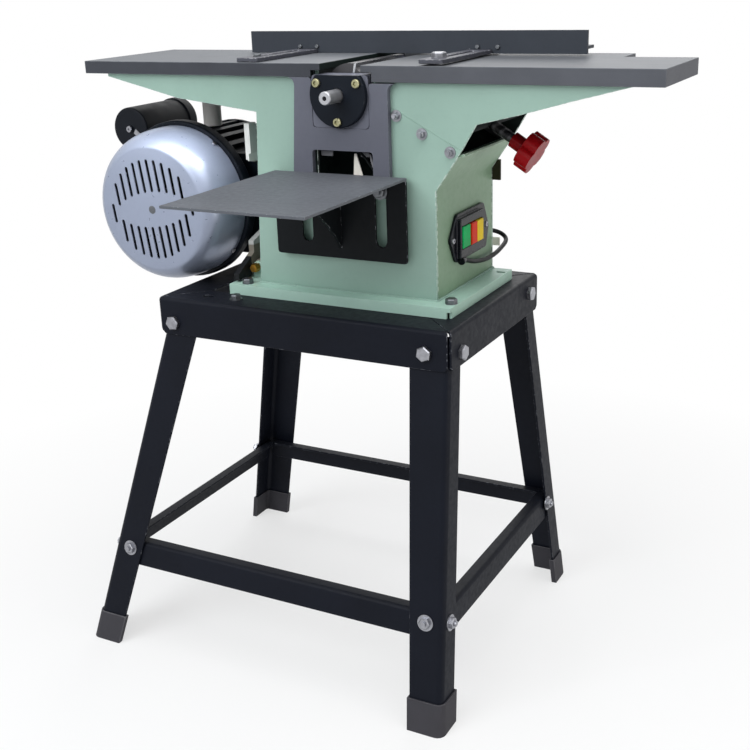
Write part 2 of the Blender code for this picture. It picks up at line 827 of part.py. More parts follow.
def make_chute():
    """A curved sheet under the cutter that sends chips down to the right."""
    left, right = CUTTER_X - 0.87 * SLOT_HALF, CUTTER_X + 1.65 * SLOT_HALF
    top, foot = CUTTER_Z - BLOCK_RADIUS - 12 * MM, WINDOW_FLOOR - 40 * MM
    line = []
    for i in range(11):
        angle = math.radians(90 * i / 10)
        x = left + (right - left) * math.sin(angle)
        line.append((x, foot + (top - foot) * math.cos(angle)))
    chute = sheet([strip(line, 2 * MM)], "XZ", INNER_FRONT + GAP, INNER_BACK - GAP)
    part(chute, "chip_chute", "cast_iron")


def make_front_frame():
    """The grey frame: two columns, the bearing slot between them and a cross band under it."""
    left_top = OUTFEED_TOP - OUTFEED_RIM - GAP
    right_top = INFEED_TOP - INFEED_RIM - INFEED_LOWER - RUNNING
    left, right = CUTTER_X - SLOT_HALF, CUTTER_X + SLOT_HALF
    window_left, window_right = FRAME_WINDOW
    band = SLOT_FLOOR - BAND_HEIGHT
    feet = [
        (FRAME_LEFT_FOOT, FRAME_FOOT),
        (window_left, FRAME_FOOT),
        (window_left, band),
        (window_right, band),
        (window_right, FRAME_FOOT),
        (FRAME_RIGHT, FRAME_FOOT),
    ]
    flare = FRAME_FLARE
    right_flare = arc((FRAME_RIGHT + flare, right_top - flare), flare, 180, 90, 4)
    left_flare = arc((FRAME_LEFT - flare, left_top - flare), flare, 90, 0, 4)
    slot = [(right, right_top), (right, SLOT_FLOOR), (left, SLOT_FLOOR), (left, left_top)]
    outline = filleted([*feet, *right_flare, *slot, *left_flare], FRAME_FILLET, 2)
    part(sheet([outline], "XZ", TABLE_FRONT, BODY_FRONT - GAP), "front_frame", "frame_grey")


# Cutter


def make_bearing_blocks():
    half = SLOT_HALF - 2 * GAP
    foot = SLOT_FLOOR + GAP
    corners = rectangle(CUTTER_X - half, CUTTER_X + half, foot, HOUSING_LID)
    outline = filleted(corners, FRAME_FILLET + 1 * MM, 2)
    bore = arc((CUTTER_X, CUTTER_Z), BEARING_OUTER + GAP, 0, 360 * 31 / 32, 31)
    starts = {"front": TABLE_FRONT + GAP, "rear": BODY_BACK + GAP + 4 * MM - HOUSING_DEPTH}
    for end, near in starts.items():
        far = near + HOUSING_DEPTH
        part(sheet([outline, bore], "XZ", near, far), f"bearing_block_{end}", "frame_grey")
        middle = (near + far) / 2
        half_width = BEARING_WIDTH / 2
        recess = 1.5 * MM
        step = (BEARING_OUTER - BEARING_INNER) / 4
        inside, outside = BEARING_INNER + GAP, BEARING_OUTER
        profile = [
            (outside, half_width),
            (outside, -half_width),
            (outside - step, -half_width),
            (outside - step, recess - half_width),
            (inside + step, recess - half_width),
            (inside + step, -half_width),
            (inside, -half_width),
            (inside, half_width),
            (inside + step, half_width),
            (inside + step, half_width - recess),
            (outside - step, half_width - recess),
            (outside - step, half_width),
        ]
        ring = turned(profile, (CUTTER_X, middle, CUTTER_Z), segments=32)
        part(ring, f"bearing_{end}", "bright_steel")


def make_bearing_cap():
    """The round cap over the front bearing, with a flat across its top in line with the block."""
    back = TABLE_FRONT
    front = back - CAP_THICKNESS
    bore = SHAFT_END_RADIUS + 1 * MM
    profile = [
        (bore, front),
        (bore, back),
        (CAP_RADIUS, back),
        (CAP_RADIUS, front + 1 * MM),
        (CAP_RADIUS - 1 * MM, front),
    ]
    cap = turned(profile, (CUTTER_X, 0, CUTTER_Z), segments=56)
    over = 2 * CAP_RADIUS
    flat = block(
        (CUTTER_X - over, front - over, HOUSING_LID),
        (CUTTER_X + over, back + over, HOUSING_LID + over),
    )
    part(cut(cap, flat), "bearing_cap", "black_enamel")


def on_cutter(radius, angle):
    """A point in the cutter's section: (x, z)."""
    return CUTTER_X + radius * math.cos(angle), CUTTER_Z + radius * math.sin(angle)


def knife_outline(angle, grow):
    """A knife's section, standing out of the block along a radius, its tip ground to an edge."""
    along = Vector((math.cos(angle), math.sin(angle)))
    across = Vector((-along.y, along.x))
    centre = Vector((CUTTER_X, CUTTER_Z))
    half = KNIFE_THICKNESS / 2 + grow
    root = BLOCK_RADIUS - KNIFE_DEPTH - grow
    tip = KNIFE_CIRCLE - 0.4 * MM + grow
    heel = tip - KNIFE_THICKNESS / 2
    points = [
        centre + along * root - across * half,
        centre + along * root + across * half,
        centre + along * heel + across * half,
        centre + along * tip - across * half,
    ]
    return [tuple(point) for point in points]


def make_cutter():
    """The block and its shaft are one piece. Two knives stand in slots with a gullet before each."""
    origin = (CUTTER_X, 0, CUTTER_Z)
    journal = BEARING_INNER
    front_journal = TABLE_FRONT + 2 * MM
    bore_depth = 22 * MM
    seat = BEARING_INNER - 1.5 * MM
    profile = [
        (0, SHAFT_TAIL),
        (seat - 1 * MM, SHAFT_TAIL),
        (seat, SHAFT_TAIL - 1 * MM),
        (seat, BELT_Y - 16 * MM),
        (journal, BELT_Y - 16 * MM),
        (journal, BLOCK_BACK + 2 * MM),
        (BLOCK_RADIUS - 12 * MM, BLOCK_BACK),
        (BLOCK_RADIUS, BLOCK_BACK),
        (BLOCK_RADIUS, BLOCK_FRONT),
        (BLOCK_RADIUS - 12 * MM, BLOCK_FRONT),
        (journal, BLOCK_FRONT - 2 * MM),
        (journal, front_journal),
        (SHAFT_END_RADIUS, front_journal),
        (SHAFT_END_RADIUS, SHAFT_END_Y + 1 * MM),
        (SHAFT_END_RADIUS - 1 * MM, SHAFT_END_Y),
        (SHAFT_END_BORE, SHAFT_END_Y),
        (SHAFT_END_BORE, SHAFT_END_Y + bore_depth),
        (0, SHAFT_END_Y + bore_depth),
    ]
    block_body = turned(profile, origin, segments=48)
    over = 1 * MM
    cutters = []
    for i, name in enumerate(("knife_upper", "knife_lower")):
        angle = math.radians(KNIFE_ANGLE + 180 * i)
        slot = knife_outline(angle, GAP)
        cutters.append(sheet([slot], "XZ", BLOCK_FRONT - over, BLOCK_BACK + over))
        x, z = on_cutter(BLOCK_RADIUS + 2 * MM, angle - math.radians(15))
        near = (x, BLOCK_FRONT - over, z)
        cutters.append(rod(near, (x, BLOCK_BACK + over, z), GULLET_RADIUS, 20))
        knife = sheet([knife_outline(angle, 0)], "XZ", BLOCK_FRONT, BLOCK_BACK)
        part(knife, name, "bright_steel", origin)
    part(cut(block_body, *cutters), "cutter_block", "bright_steel", origin)


def make_pulley(name, centre, radius, bore, finish="cast_iron"):
    """A flat-grooved pulley, the groove's floor just inside the belt."""
    half = BELT_WIDTH / 2 + 0.6 * MM
    edge = half + PULLEY_CHEEK
    lip = radius + BELT_THICKNESS * 0.8
    profile = [
        (bore, edge),
        (bore, -edge),
        (lip, -edge),
        (lip, -half),
        (radius - GAP, -half),
        (radius - GAP, half),
        (lip, half),
        (lip, edge),
    ]
    origin = (centre[0], BELT_Y, centre[1])
    part(turned(profile, origin, segments=48), name, finish, origin)


def belt_loop(grow):
    """The belt's run round both pulleys, grow outside the grooves, with the tangents between."""
    big, small = Vector((MOTOR_X, MOTOR_Z)), Vector((CUTTER_X, CUTTER_Z))
    run = small - big
    heading = math.degrees(math.atan2(run.y, run.x))
    lift = math.degrees(math.asin((MOTOR_PULLEY - CUTTER_PULLEY) / run.length))
    near = 90 - lift
    motor_side = arc(big, MOTOR_PULLEY + grow, heading + near, heading + 360 - near, 16)
    cutter_side = arc(small, CUTTER_PULLEY + grow, heading - near, heading + near, 12)
    return motor_side + cutter_side


def make_drive():
    seat = BEARING_INNER - 1.5 * MM + GAP
    make_pulley("cutter_pulley", (CUTTER_X, CUTTER_Z), CUTTER_PULLEY, seat)
    make_pulley("motor_pulley", (MOTOR_X, MOTOR_Z), MOTOR_PULLEY, MOTOR_SHAFT + GAP)
    half = BELT_WIDTH / 2
    loops = [belt_loop(BELT_THICKNESS), belt_loop(0)]
    belt = sheet(loops, "XZ", BELT_Y - half, BELT_Y + half)
    part(belt, "drive_belt", "rubber")
    outer = belt_loop(BELT_THICKNESS + GUARD_MARGIN)
    inner = belt_loop(BELT_THICKNESS + GUARD_MARGIN - GUARD_SHEET)
    shell = sheet([outer], "XZ", GUARD_FRONT, GUARD_BACK)
    hollow = sheet([inner], "XZ", GUARD_FRONT - 5 * MM, GUARD_BACK - GUARD_SHEET)
    guard = cut(shell, hollow)
    reach = SLOT_HALF + POST_RADIUS + 0.4 * MM
    posts = []
    for x in (CUTTER_X - reach, CUTTER_X + reach):
        z = CUTTER_Z - POST_RADIUS
        foot, head = (x, BODY_BACK + GAP, z), (x, GUARD_BACK - GUARD_SHEET / 2, z)
        posts.append(rod(foot, head, POST_RADIUS, 16))
    part(joined(guard, *posts), "belt_guard", "black_enamel")


# Tables and fence


def make_outfeed():
    """A plate with a rim on three sides and its lip reaching over the cutter."""
    lip = CUTTER_X - MOUTH_LEFT
    rim_end = CUTTER_X - SLOT_HALF
    foot = OUTFEED_TOP - OUTFEED_RIM
    front, back = TABLE_FRONT, TABLE_BACK
    wall = TABLE_WALL - RUNNING
    plate = sheet([rectangle(OUTFEED_END, lip, front, back)], "XY", OUTFEED_UNDER, OUTFEED_TOP)
    rim = [
        (OUTFEED_END, front),
        (rim_end, front),
        (rim_end, front + wall),
        (OUTFEED_END + wall, front + wall),
        (OUTFEED_END + wall, back - wall),
        (rim_end, back - wall),
        (rim_end, back),
        (OUTFEED_END, back),
    ]
    edge = sheet([rim], "XY", foot, OUTFEED_UNDER + 1 * MM)
    part(joined(plate, edge), "outfeed_table", "table_steel")


def make_infeed():
    """The longer table, stepped in at its far rear corner, with a rim on all sides but the mouth."""
    lip = CUTTER_X + MOUTH_RIGHT
    rim_start = CUTTER_X + SLOT_HALF + 4 * MM
    foot = INFEED_TOP - INFEED_RIM
    front, back = TABLE_FRONT, TABLE_BACK
    wall = TABLE_WALL - RUNNING
    outline = [
        (lip, front),
        (INFEED_END, front),
        (INFEED_END, INFEED_STEP_Y),
        (INFEED_STEP_X, INFEED_STEP_Y),
        (INFEED_STEP_X, back),
        (lip, back),
    ]
    rim = [
        (rim_start, front),
        (INFEED_END, front),
        (INFEED_END, INFEED_STEP_Y),
        (INFEED_STEP_X, INFEED_STEP_Y),
        (INFEED_STEP_X, back),
        (rim_start, back),
        (rim_start, back - wall),
        (INFEED_STEP_X - wall, back - wall),
        (INFEED_STEP_X - wall, INFEED_STEP_Y - wall),
        (INFEED_END - wall, INFEED_STEP_Y - wall),
        (INFEED_END - wall, front + wall),
        (rim_start, front + wall),
    ]
    plate = sheet([outline], "XY", INFEED_UNDER, INFEED_TOP)
    edge = sheet([rim], "XY", foot, INFEED_UNDER + 1 * MM)
    part(joined(plate, edge), "infeed_table", "table_steel", (WAY_X, 0, WAY_Z))


def way_z(x, offset):
    """The height of a line along the ways, this far square to their middle line."""
    return WAY_Z - (x - WAY_X) * math.tan(INCLINE) + offset / math.cos(INCLINE)


def make_ways():
    """Two inclined bars inside the plates. Their lower ends follow the leaning wall."""
    start = WAY_X + WAY_START * math.cos(INCLINE)
    lean = (LEAN_TOP_X - BODY_RIGHT) / (LEAN_TOP_Z - LEAN_START)
    inset = BODY_SHEET * math.sqrt(1 + lean**2) + 1.2 * MM

    def meet(offset):
        slope = math.tan(INCLINE)
        level = WAY_Z + WAY_X * slope + offset / math.cos(INCLINE)
        x = (BODY_RIGHT - inset + lean * (level - LEAN_START)) / (1 + lean * slope)
        return x, way_z(x, offset)

    outline = [
        (start, way_z(start, -WAY_HALF)),
        meet(-WAY_HALF),
        meet(WAY_HALF),
        (start, way_z(start, WAY_HALF)),
    ]
    near = INNER_FRONT + GAP
    part(sheet([outline], "XZ", near, near + WAY_THICKNESS), "way_front", "cast_iron")
    far = INNER_BACK - GAP
    part(sheet([outline], "XZ", far - WAY_THICKNESS, far), "way_rear", "cast_iron")


def screw_point(along):
    """A point on the height screw's axis, this far down the slope from the knob's hub."""
    return Vector((KNOB_X, 0, KNOB_Z)) + SLOPE * along


def make_carriage():
    """A hollow wedge under the infeed table that rides on the ways, bored for the screw."""
    top = INFEED_UNDER - GAP
    left_z = way_z(CARRIAGE_LEFT, WAY_HALF + GAP)
    right_z = way_z(CARRIAGE_RIGHT, WAY_HALF + GAP)
    outline = [
        (CARRIAGE_LEFT, left_z),
        (CARRIAGE_RIGHT, right_z),
        (CARRIAGE_RIGHT, top),
        (CARRIAGE_LEFT, top),
    ]
    near, far = INNER_FRONT + 2 * GAP, INNER_BACK - 2 * GAP
    wedge = sheet([outline], "XZ", near, far)
    wall = CARRIAGE_WALL
    hollow_left = CARRIAGE_LEFT + 2.2 * wall
    pocket = [
        (hollow_left, way_z(hollow_left, -4 * WAY_HALF)),
        (CARRIAGE_RIGHT - wall, way_z(CARRIAGE_RIGHT - wall, -4 * WAY_HALF)),
        (CARRIAGE_RIGHT - wall, top - wall),
        (hollow_left, top - wall),
    ]
    inset = WAY_THICKNESS + wall / 2
    hollow = sheet([pocket], "XZ", near + inset, far - inset)
    bore = rod(screw_point(-SCREW_REACH - 30 * MM), screw_point(0), SCREW_RADIUS + RUNNING, 20)
    part(cut(wedge, hollow, bore), "infeed_carriage", "cast_iron", (WAY_X, 0, WAY_Z))


def make_height_screw():
    """The screw, its knob, and the tie between the plates that it turns in."""
    hub_start = -HUB_HALF
    end = screw_point(hub_start - GAP)
    start = screw_point(-SCREW_REACH)
    part(rod(start, end, SCREW_RADIUS, 20), "height_screw", "bright_steel", screw_point(0))
    lobes = []
    for i in range(60):
        angle = 2 * math.pi * i / 60
        valley = 1 - abs(math.cos(KNOB_LOBES * angle / 2)) ** 0.6
        radius = KNOB_RADIUS - 6 * MM * valley
        lobes.append((radius * math.cos(angle), radius * math.sin(angle)))
    grip = softened(sheet([lobes], "XY", HUB_HALF, HUB_HALF + KNOB_THICKNESS), 2.5 * MM)
    hub = rod((0, 0, hub_start), (0, 0, HUB_HALF + 1 * MM), HUB_RADIUS, 24)
    knob = joined(grip, hub)
    knob.data.transform(Matrix.Translation(screw_point(0)) @ facing(SLOPE))
    part(knob, "height_knob", "crimson_plastic", screw_point(0))
    along = (TIE_X - KNOB_X) / math.cos(INCLINE)
    centre = screw_point(along)
    near, far = INNER_FRONT + GAP, INNER_BACK - GAP
    tie = rod((centre.x, near, centre.z), (centre.x, far, centre.z), TIE_RADIUS)
    reach = 3 * TIE_RADIUS
    bore = rod(screw_point(along - reach), screw_point(along + reach), SCREW_RADIUS + RUNNING, 20)
    part(cut(tie, bore), "cross_tie", "green_enamel")


def make_fence():
    """An upright strip with a rear flange, notched over the two slotted bars that it rides on."""
    origin = (CUTTER_X, FENCE_Y, FENCE_FLOOR)
    notch_top = BAR_TOP + GAP
    half = BAR_WIDTH / 2 + GAP
    back = FENCE_Y + FENCE_FLANGE
    web = block(
        (FENCE_LEFT, FENCE_Y, FENCE_FLOOR),
        (FENCE_RIGHT, FENCE_Y + FENCE_SHEET, FENCE_TOP),
    )
    flange = block(
        (FENCE_LEFT + GAP, FENCE_Y + FENCE_SHEET / 2, notch_top + GAP),
        (FENCE_RIGHT - GAP, back, notch_top + FENCE_SHEET),
    )
    over = 5 * MM
    notches = [
        block((x - half, FENCE_Y - over, FENCE_FLOOR - over), (x + half, back + over, notch_top))
        for x in BAR_CENTRES.values()
    ]
    part(cut(joined(web, flange), *notches), "fence", "fence_grey", origin)
    for side, centre in BAR_CENTRES.items():
        shape = rectangle(centre - BAR_WIDTH / 2, centre + BAR_WIDTH / 2, BAR_FRONT, back)
        slot = stadium((centre, BAR_FRONT + 20 * MM), (centre, FENCE_Y - 25 * MM), BAR_SLOT)
        bar = sheet([filleted(shape, 4 * MM, 2), slot], "XY", FENCE_FLOOR, BAR_TOP)
        part(bar, f"slide_bar_{side}", "fence_grey", origin)


def make_shelf():
    """The mortising shelf: one bent sheet with two upright slots, and a gusset under it."""
    wall_back = TABLE_FRONT - GAP
    wall_front = wall_back - SHELF_SHEET
    middle = (SHELF_LEFT + SHELF_RIGHT) / 2
    corners = rectangle(SHELF_LEFT, SHELF_RIGHT, SHELF_FOOT, SHELF_TOP - SHELF_SHEET / 2)
    outline = filleted(corners, 4 * MM, 2)
    half = SHELF_SLOT_WIDTH / 2
    low, high = SHELF_SLOT_FOOT + half, SHELF_SLOT_TOP - half
    slots = [stadium((x, low), (x, high), SHELF_SLOT_WIDTH) for x in SHELF_SLOTS]
    upright = sheet([outline, *slots], "XZ", wall_front, wall_back)
    top = sheet(
        [rectangle(SHELF_LEFT, SHELF_RIGHT, SHELF_FRONT, wall_back)],
        "XY",
        SHELF_TOP - SHELF_SHEET,
        SHELF_TOP,
    )
    under = SHELF_TOP - SHELF_SHEET / 2
    low = SHELF_FOOT + 12 * MM
    inside = wall_front + SHELF_SHEET / 2
    reach = inside - GUSSET_REACH
    edge = []
    for i in range(7):
        t = i / 6
        bulge = 0.16 * math.sin(math.pi * t)
        y = inside + (reach - inside) * (t - bulge * (1 - t))
        z = low + (under - low) * (t + bulge * t)
        edge.append((min(y, inside - 1 * MM), min(z, under - 0.5 * MM)))
    outline = [(inside, under), (inside, low), *edge, (reach, under)]
    gusset = sheet([outline], "YZ", middle - 2 * MM, middle + 2 * MM)
    origin = (middle, wall_back, SHELF_TOP)
    part(joined(upright, top, gusset), "mortise_shelf", "shelf_grey", origin)


# Motor


def make_cowl():
    """The pressed fan cowl: a flat slotted face, a round shoulder and a straight skirt."""
    shoulder = COWL_SHOULDER
    width = COWL_RADIUS - COWL_FACE
    outer, inner = [(0, COWL_FRONT), (COWL_FACE, COWL_FRONT)], []
    for i in range(1, 8):
        angle = math.radians(90 * i / 7)
        radius = COWL_FACE + width * math.sin(angle)
        depth = COWL_FRONT + 2 * MM + shoulder * (1 - math.cos(angle))
        outer.append((radius, depth))
        inner.append((radius - COWL_SHEET, depth + COWL_SHEET))
    outer.append((COWL_RADIUS, COWL_BACK))
    inner.append((COWL_RADIUS - COWL_SHEET, COWL_BACK))
    inner.reverse()
    inner += [(COWL_FACE - COWL_SHEET, COWL_FRONT + COWL_SHEET), (0, COWL_FRONT + COWL_SHEET)]
    cowl = turned(outer + inner, (MOTOR_X, 0, MOTOR_Z), segments=64)
    loops = cowl_slots()
    near, far = COWL_FRONT - 4 * MM, COWL_FRONT + 4 * MM
    part(cut(cowl, sheet(loops, "XZ", near, far)), "fan_cowl", "silver_paint")


def cowl_slots():
    """Parallel slots in two groups that fill a circle round a plain heart, all leaning a little."""
    turn = Matrix.Rotation(SLOT_LEAN, 2)
    centre = Vector((MOTOR_X, MOTOR_Z))
    runs = []
    for i in range(SLOT_COLUMNS):
        u = (i - (SLOT_COLUMNS - 1) / 2) * SLOT_PITCH
        outside = math.sqrt(max(SLOT_REACH**2 - u**2, 0)) - SLOT_WIDTH / 2
        if i in (0, SLOT_COLUMNS - 1):
            runs.append((u, -outside * 0.9, outside * 0.9))
            continue
        share = 1 - (u / (SLOT_REACH * 0.9)) ** 2
        inside = max(SLOT_HEART * math.sqrt(max(share, 0)), 7 * MM)
        runs.append((u, inside, outside))
        runs.append((u, -outside, -inside))
    slots = []
    for u, low, high in runs:
        start, end = (centre + turn @ Vector((u, v)) for v in (low, high))
        slots.append(stadium(start, end, SLOT_WIDTH, 3))
    return slots


def make_fan():
    """The cooling fan: a hub, a disc and straight blades in front of it."""
    origin = (MOTOR_X, 0, MOTOR_Z)
    back = COWL_BACK - 6 * MM
    disc_front = back - 4 * MM
    front = COWL_FRONT + 12 * MM
    hub = 24 * MM
    profile = [
        (MOTOR_SHAFT + GAP, back),
        (MOTOR_SHAFT + GAP, front),
        (hub, front),
        (hub, disc_front),
        (FAN_RADIUS, disc_front),
        (FAN_RADIUS, back),
    ]
    fan = turned(profile, origin, segments=32)
    blades = []
    for i in range(FAN_BLADES):
        tip = FAN_RADIUS - 3 * MM
        blade = block((hub - 3 * MM, front, -1.5 * MM), (tip, disc_front + 1 * MM, 1.5 * MM))
        turn = Matrix.Rotation(2 * math.pi * i / FAN_BLADES, 4, "Y")
        blade.data.transform(Matrix.Translation(origin) @ turn)
        blades.append(blade)
    part(joined(fan, *blades), "cooling_fan", "black_plastic", origin)


def make_motor_ring():
    """The front end bell: a ring proud of the cowl and a web that holds the bearing."""
    bore = MOTOR_SHAFT + GAP + RUNNING
    front, back = COWL_BACK + GAP, RING_BACK
    web = back - 5 * MM
    profile = [
        (bore, front),
        (bore, back),
        (RING_RADIUS, back),
        (RING_RADIUS, front + 2 * MM),
        (RING_RADIUS - 2 * MM, front),
        (RING_RADIUS - 14 * MM, front),
        (RING_RADIUS - 18 * MM, web),
        (40 * MM, web),
        (32 * MM, front),
    ]
    part(turned(profile, (MOTOR_X, 0, MOTOR_Z), segments=64), "motor_end_ring", "black_enamel")


def make_motor_frame():
    """The finned frame with its feet and the capacitor's saddle, bored for the rotor."""
    origin = (MOTOR_X, 0, MOTOR_Z)
    front = RING_BACK + GAP
    back = FRAME_BACK - 14 * MM
    outline = []
    for i in range(FINS):
        for share, rise in ((0, 0), (0.5, 0), (0.56, FIN_HEIGHT), (0.94, FIN_HEIGHT)):
            angle = 2 * math.pi * (i + share) / FINS
            radius = FRAME_RADIUS + rise
            outline.append((MOTOR_X + radius * math.cos(angle), MOTOR_Z + radius * math.sin(angle)))
    frame = sheet([outline], "XZ", front, back)
    bell = FRAME_RADIUS + FIN_HEIGHT + 1 * MM
    end_bell = turned(
        [
            (0, back - 1 * MM),
            (bell, back - 1 * MM),
            (bell, back + 4 * MM),
            (bell - 16 * MM, FRAME_BACK),
            (0, FRAME_BACK),
        ],
        origin,
        segments=48,
    )
    feet_front, feet_back = front + 20 * MM, back - 8 * MM
    feet = block(
        (MOTOR_X + FRAME_RADIUS - 30 * MM, feet_front, MOTOR_Z - FOOT_DROP),
        (FOOT_X - GAP, feet_back, MOTOR_Z + FOOT_RISE),
    )
    to_capacitor = Vector((CAPACITOR_X - MOTOR_X, 0, CAPACITOR_Z - MOTOR_Z))
    reach = to_capacitor.length - CAPACITOR_RADIUS - GAP
    saddle = block(
        (FRAME_RADIUS - 6 * MM, front + 25 * MM, -12 * MM),
        (reach, front + 65 * MM, 12 * MM),
    )
    lean = -math.atan2(to_capacitor.z, to_capacitor.x)
    saddle.data.transform(Matrix.Translation(origin) @ Matrix.Rotation(lean, 4, "Y"))
    frame = joined(frame, end_bell, feet, saddle)


    def along(y):
        return MOTOR_X, y, MOTOR_Z

    chamber = rod(along(front - 5 * MM), along(back - 10 * MM), ROTOR_RADIUS + 2 * RUNNING, 40)
    shaft_hole = MOTOR_SHAFT + RUNNING + GAP
    bore = rod(along(back - 20 * MM), along(FRAME_BACK + 5 * MM), shaft_hole, 32)
    part(cut(frame, chamber, bore), "motor_frame", "black_enamel")


def make_rotor():
    """The motor's shaft with the rotor core on it."""
    origin = (MOTOR_X, 0, MOTOR_Z)
    core_front, core_back = RING_BACK + 14 * MM, FRAME_BACK - 36 * MM
    front, back = COWL_FRONT + 10 * MM, BELT_Y + 13 * MM
    profile = [
        (0, front),
        (MOTOR_SHAFT, front),
        (MOTOR_SHAFT, core_front),
        (ROTOR_RADIUS, core_front),
        (ROTOR_RADIUS, core_back),
        (MOTOR_SHAFT, core_back),
        (MOTOR_SHAFT, back),
        (0, back),
    ]
    part(turned(profile, origin, segments=40), "rotor_shaft", "bright_steel", origin)


def make_capacitor():
    """The capacitor's can, with a soft boot over its rear end."""
    boot = CAPACITOR_RADIUS + BOOT_THICKNESS
    boot_front = CAPACITOR_BACK - BOOT_LENGTH
    profile = [
        (0, CAPACITOR_FRONT),
        (CAPACITOR_RADIUS - 1.5 * MM, CAPACITOR_FRONT),
        (CAPACITOR_RADIUS, CAPACITOR_FRONT + 1.5 * MM),
        (CAPACITOR_RADIUS, boot_front),
        (boot, boot_front + 1 * MM),
        (boot, CAPACITOR_BACK - 5 * MM),
        (boot - 5 * MM, CAPACITOR_BACK),
        (0, CAPACITOR_BACK),
    ]
    part(turned(profile, (CAPACITOR_X, 0, CAPACITOR_Z), segments=40), "capacitor", "black_plastic")


def make_motor_plate():
    """The upright plate that carries the motor, with a hinge barrel, a toe and a tab at the top."""
    left, right = FOOT_X, FOOT_X + PLATE_THICKNESS
    hinge_z = hinge_height()
    front, back = hinge_span()
    low = BASE_TOP + 2 * MM
    wide_top = MOTOR_Z + FOOT_RISE
    tab = 16 * MM
    recess = front + 3 * tab
    outline = [
        (PLATE_TOE, low),
        (back, low),
        (back, wide_top),
        (PLATE_FRONT + tab, wide_top + 12 * MM),
        (PLATE_FRONT + tab, PLATE_TOP),
        (PLATE_FRONT, PLATE_TOP),
        (PLATE_FRONT, wide_top),
        (recess, wide_top - tab),
        (recess, PLATE_SHOULDER + tab),
        (front, PLATE_SHOULDER),
        (front, hinge_z + 2 * HINGE_RADIUS),
        (PLATE_TOE, low + HINGE_RADIUS),
    ]
    plate = sheet([outline], "YZ", left, right)
    half = HINGE_RADIUS / 2
    web = block((left, front, hinge_z - half), (HINGE_X, back, hinge_z + half))
    barrel = rod((HINGE_X, front, hinge_z), (HINGE_X, back, hinge_z), HINGE_RADIUS, 28)
    over = 5 * MM
    ends = (HINGE_X, front - over, hinge_z), (HINGE_X, back + over, hinge_z)
    bore = rod(*ends, HINGE_PIN + RUNNING, 24)
    part(cut(joined(plate, web, barrel), bore), "motor_plate", "grey_paint")


def make_stay():
    """The tube that steadies the motor under the outfeed table."""
    foot = MOTOR_Z + FRAME_RADIUS + FIN_HEIGHT + GAP
    stay = rod((STAY_X, STAY_Y, foot), (STAY_X, STAY_Y, OUTFEED_UNDER - GAP), STAY_RADIUS, 28)
    part(stay, "motor_stay", "grey_paint")


# Switch


def switch_box_span(grow):
    """The box behind the switch's face, and the hole in the wall for it: low and high Y and Z."""
    y, z = SWITCH_MIDDLE
    frame_low_y, frame_high_y, frame_low_z, frame_high_z = SWITCH_FRAME
    inset = SWITCH_RIM / 2 - grow
    return (
        y + frame_low_y + inset,
        y + frame_high_y - inset,
        z + frame_low_z + inset,
        z + frame_high_z - inset,
    )


def make_switch():
    """A six-sided plate with a raised frame round the buttons, and its box through the wall."""
    face = BODY_RIGHT + GAP
    y, z = SWITCH_MIDDLE
    outline = [(y + u * MM, z + v * MM) for u, v in SWITCH_CORNERS]
    plate = sheet([filleted(outline, 4 * MM)], "YZ", face, face + SWITCH_FLANGE)
    low_y, high_y, low_z, high_z = SWITCH_FRAME
    front = face + SWITCH_PROUD
    raised = softened(
        block((face + 1 * MM, y + low_y, z + low_z), (front, y + high_y, z + high_z)),
        1.5 * MM,
    )
    box_low_y, box_high_y, box_low_z, box_high_z = switch_box_span(0)
    back = face - SWITCH_BOX_DEPTH
    rear = block((back, box_low_y, box_low_z), (face + 2 * MM, box_high_y, box_high_z))
    first = min(low for low, high, proud in BUTTONS.values())
    last = max(high for low, high, proud in BUTTONS.values())
    margin = 0.8 * MM
    button_low, button_high = (z + v for v in BUTTON_SPAN)
    well_floor = face - 2 * BUTTON_TRAVEL
    well = block(
        (well_floor, y + first - margin, button_low - margin),
        (front + SWITCH_PROUD, y + last + margin, button_high + margin),
    )
    part(cut(joined(plate, raised, rear), well), "switch_box", "black_plastic")
    for colour, (low, high, proud) in BUTTONS.items():
        start = well_floor + BUTTON_TRAVEL + GAP
        near, far = (start, y + low + GAP, button_low), (face + proud, y + high - GAP, button_high)
        origin = (start, y + (low + high) / 2, (button_low + button_high) / 2)
        cap = softened(block(near, far), 1 * MM)
        part(cap, f"button_{colour}", f"{colour}_plastic", origin)


def smooth_route(points, spacing):
    """Evenly spaced points on a smooth curve through the given ones."""
    points = [Vector(point) for point in points]
    ends = [2 * points[0] - points[1], *points, 2 * points[-1] - points[-2]]
    dense = []
    for i in range(1, len(ends) - 2):
        a, b, c, d = ends[i - 1 : i + 3]
        for step in range(20):
            t = step / 20
            square = (2 * a - 5 * b + 4 * c - d) * t**2
            cube = (3 * b - a - 3 * c + d) * t**3
            dense.append(0.5 * (2 * b + (c - a) * t + square + cube))
    dense.append(points[-1])
    total = sum((after - before).length for before, after in zip(dense, dense[1:]))
    count = max(2, round(total / spacing))
    found = [dense[0]]
    walked, target = 0.0, total / count
    for before, after in zip(dense, dense[1:]):
        length = (after - before).length
        while walked + length >= target and len(found) < count:
            found.append(before.lerp(after, (target - walked) / length))
            target += total / count
        walked += length
    found.append(dense[-1])
    return found


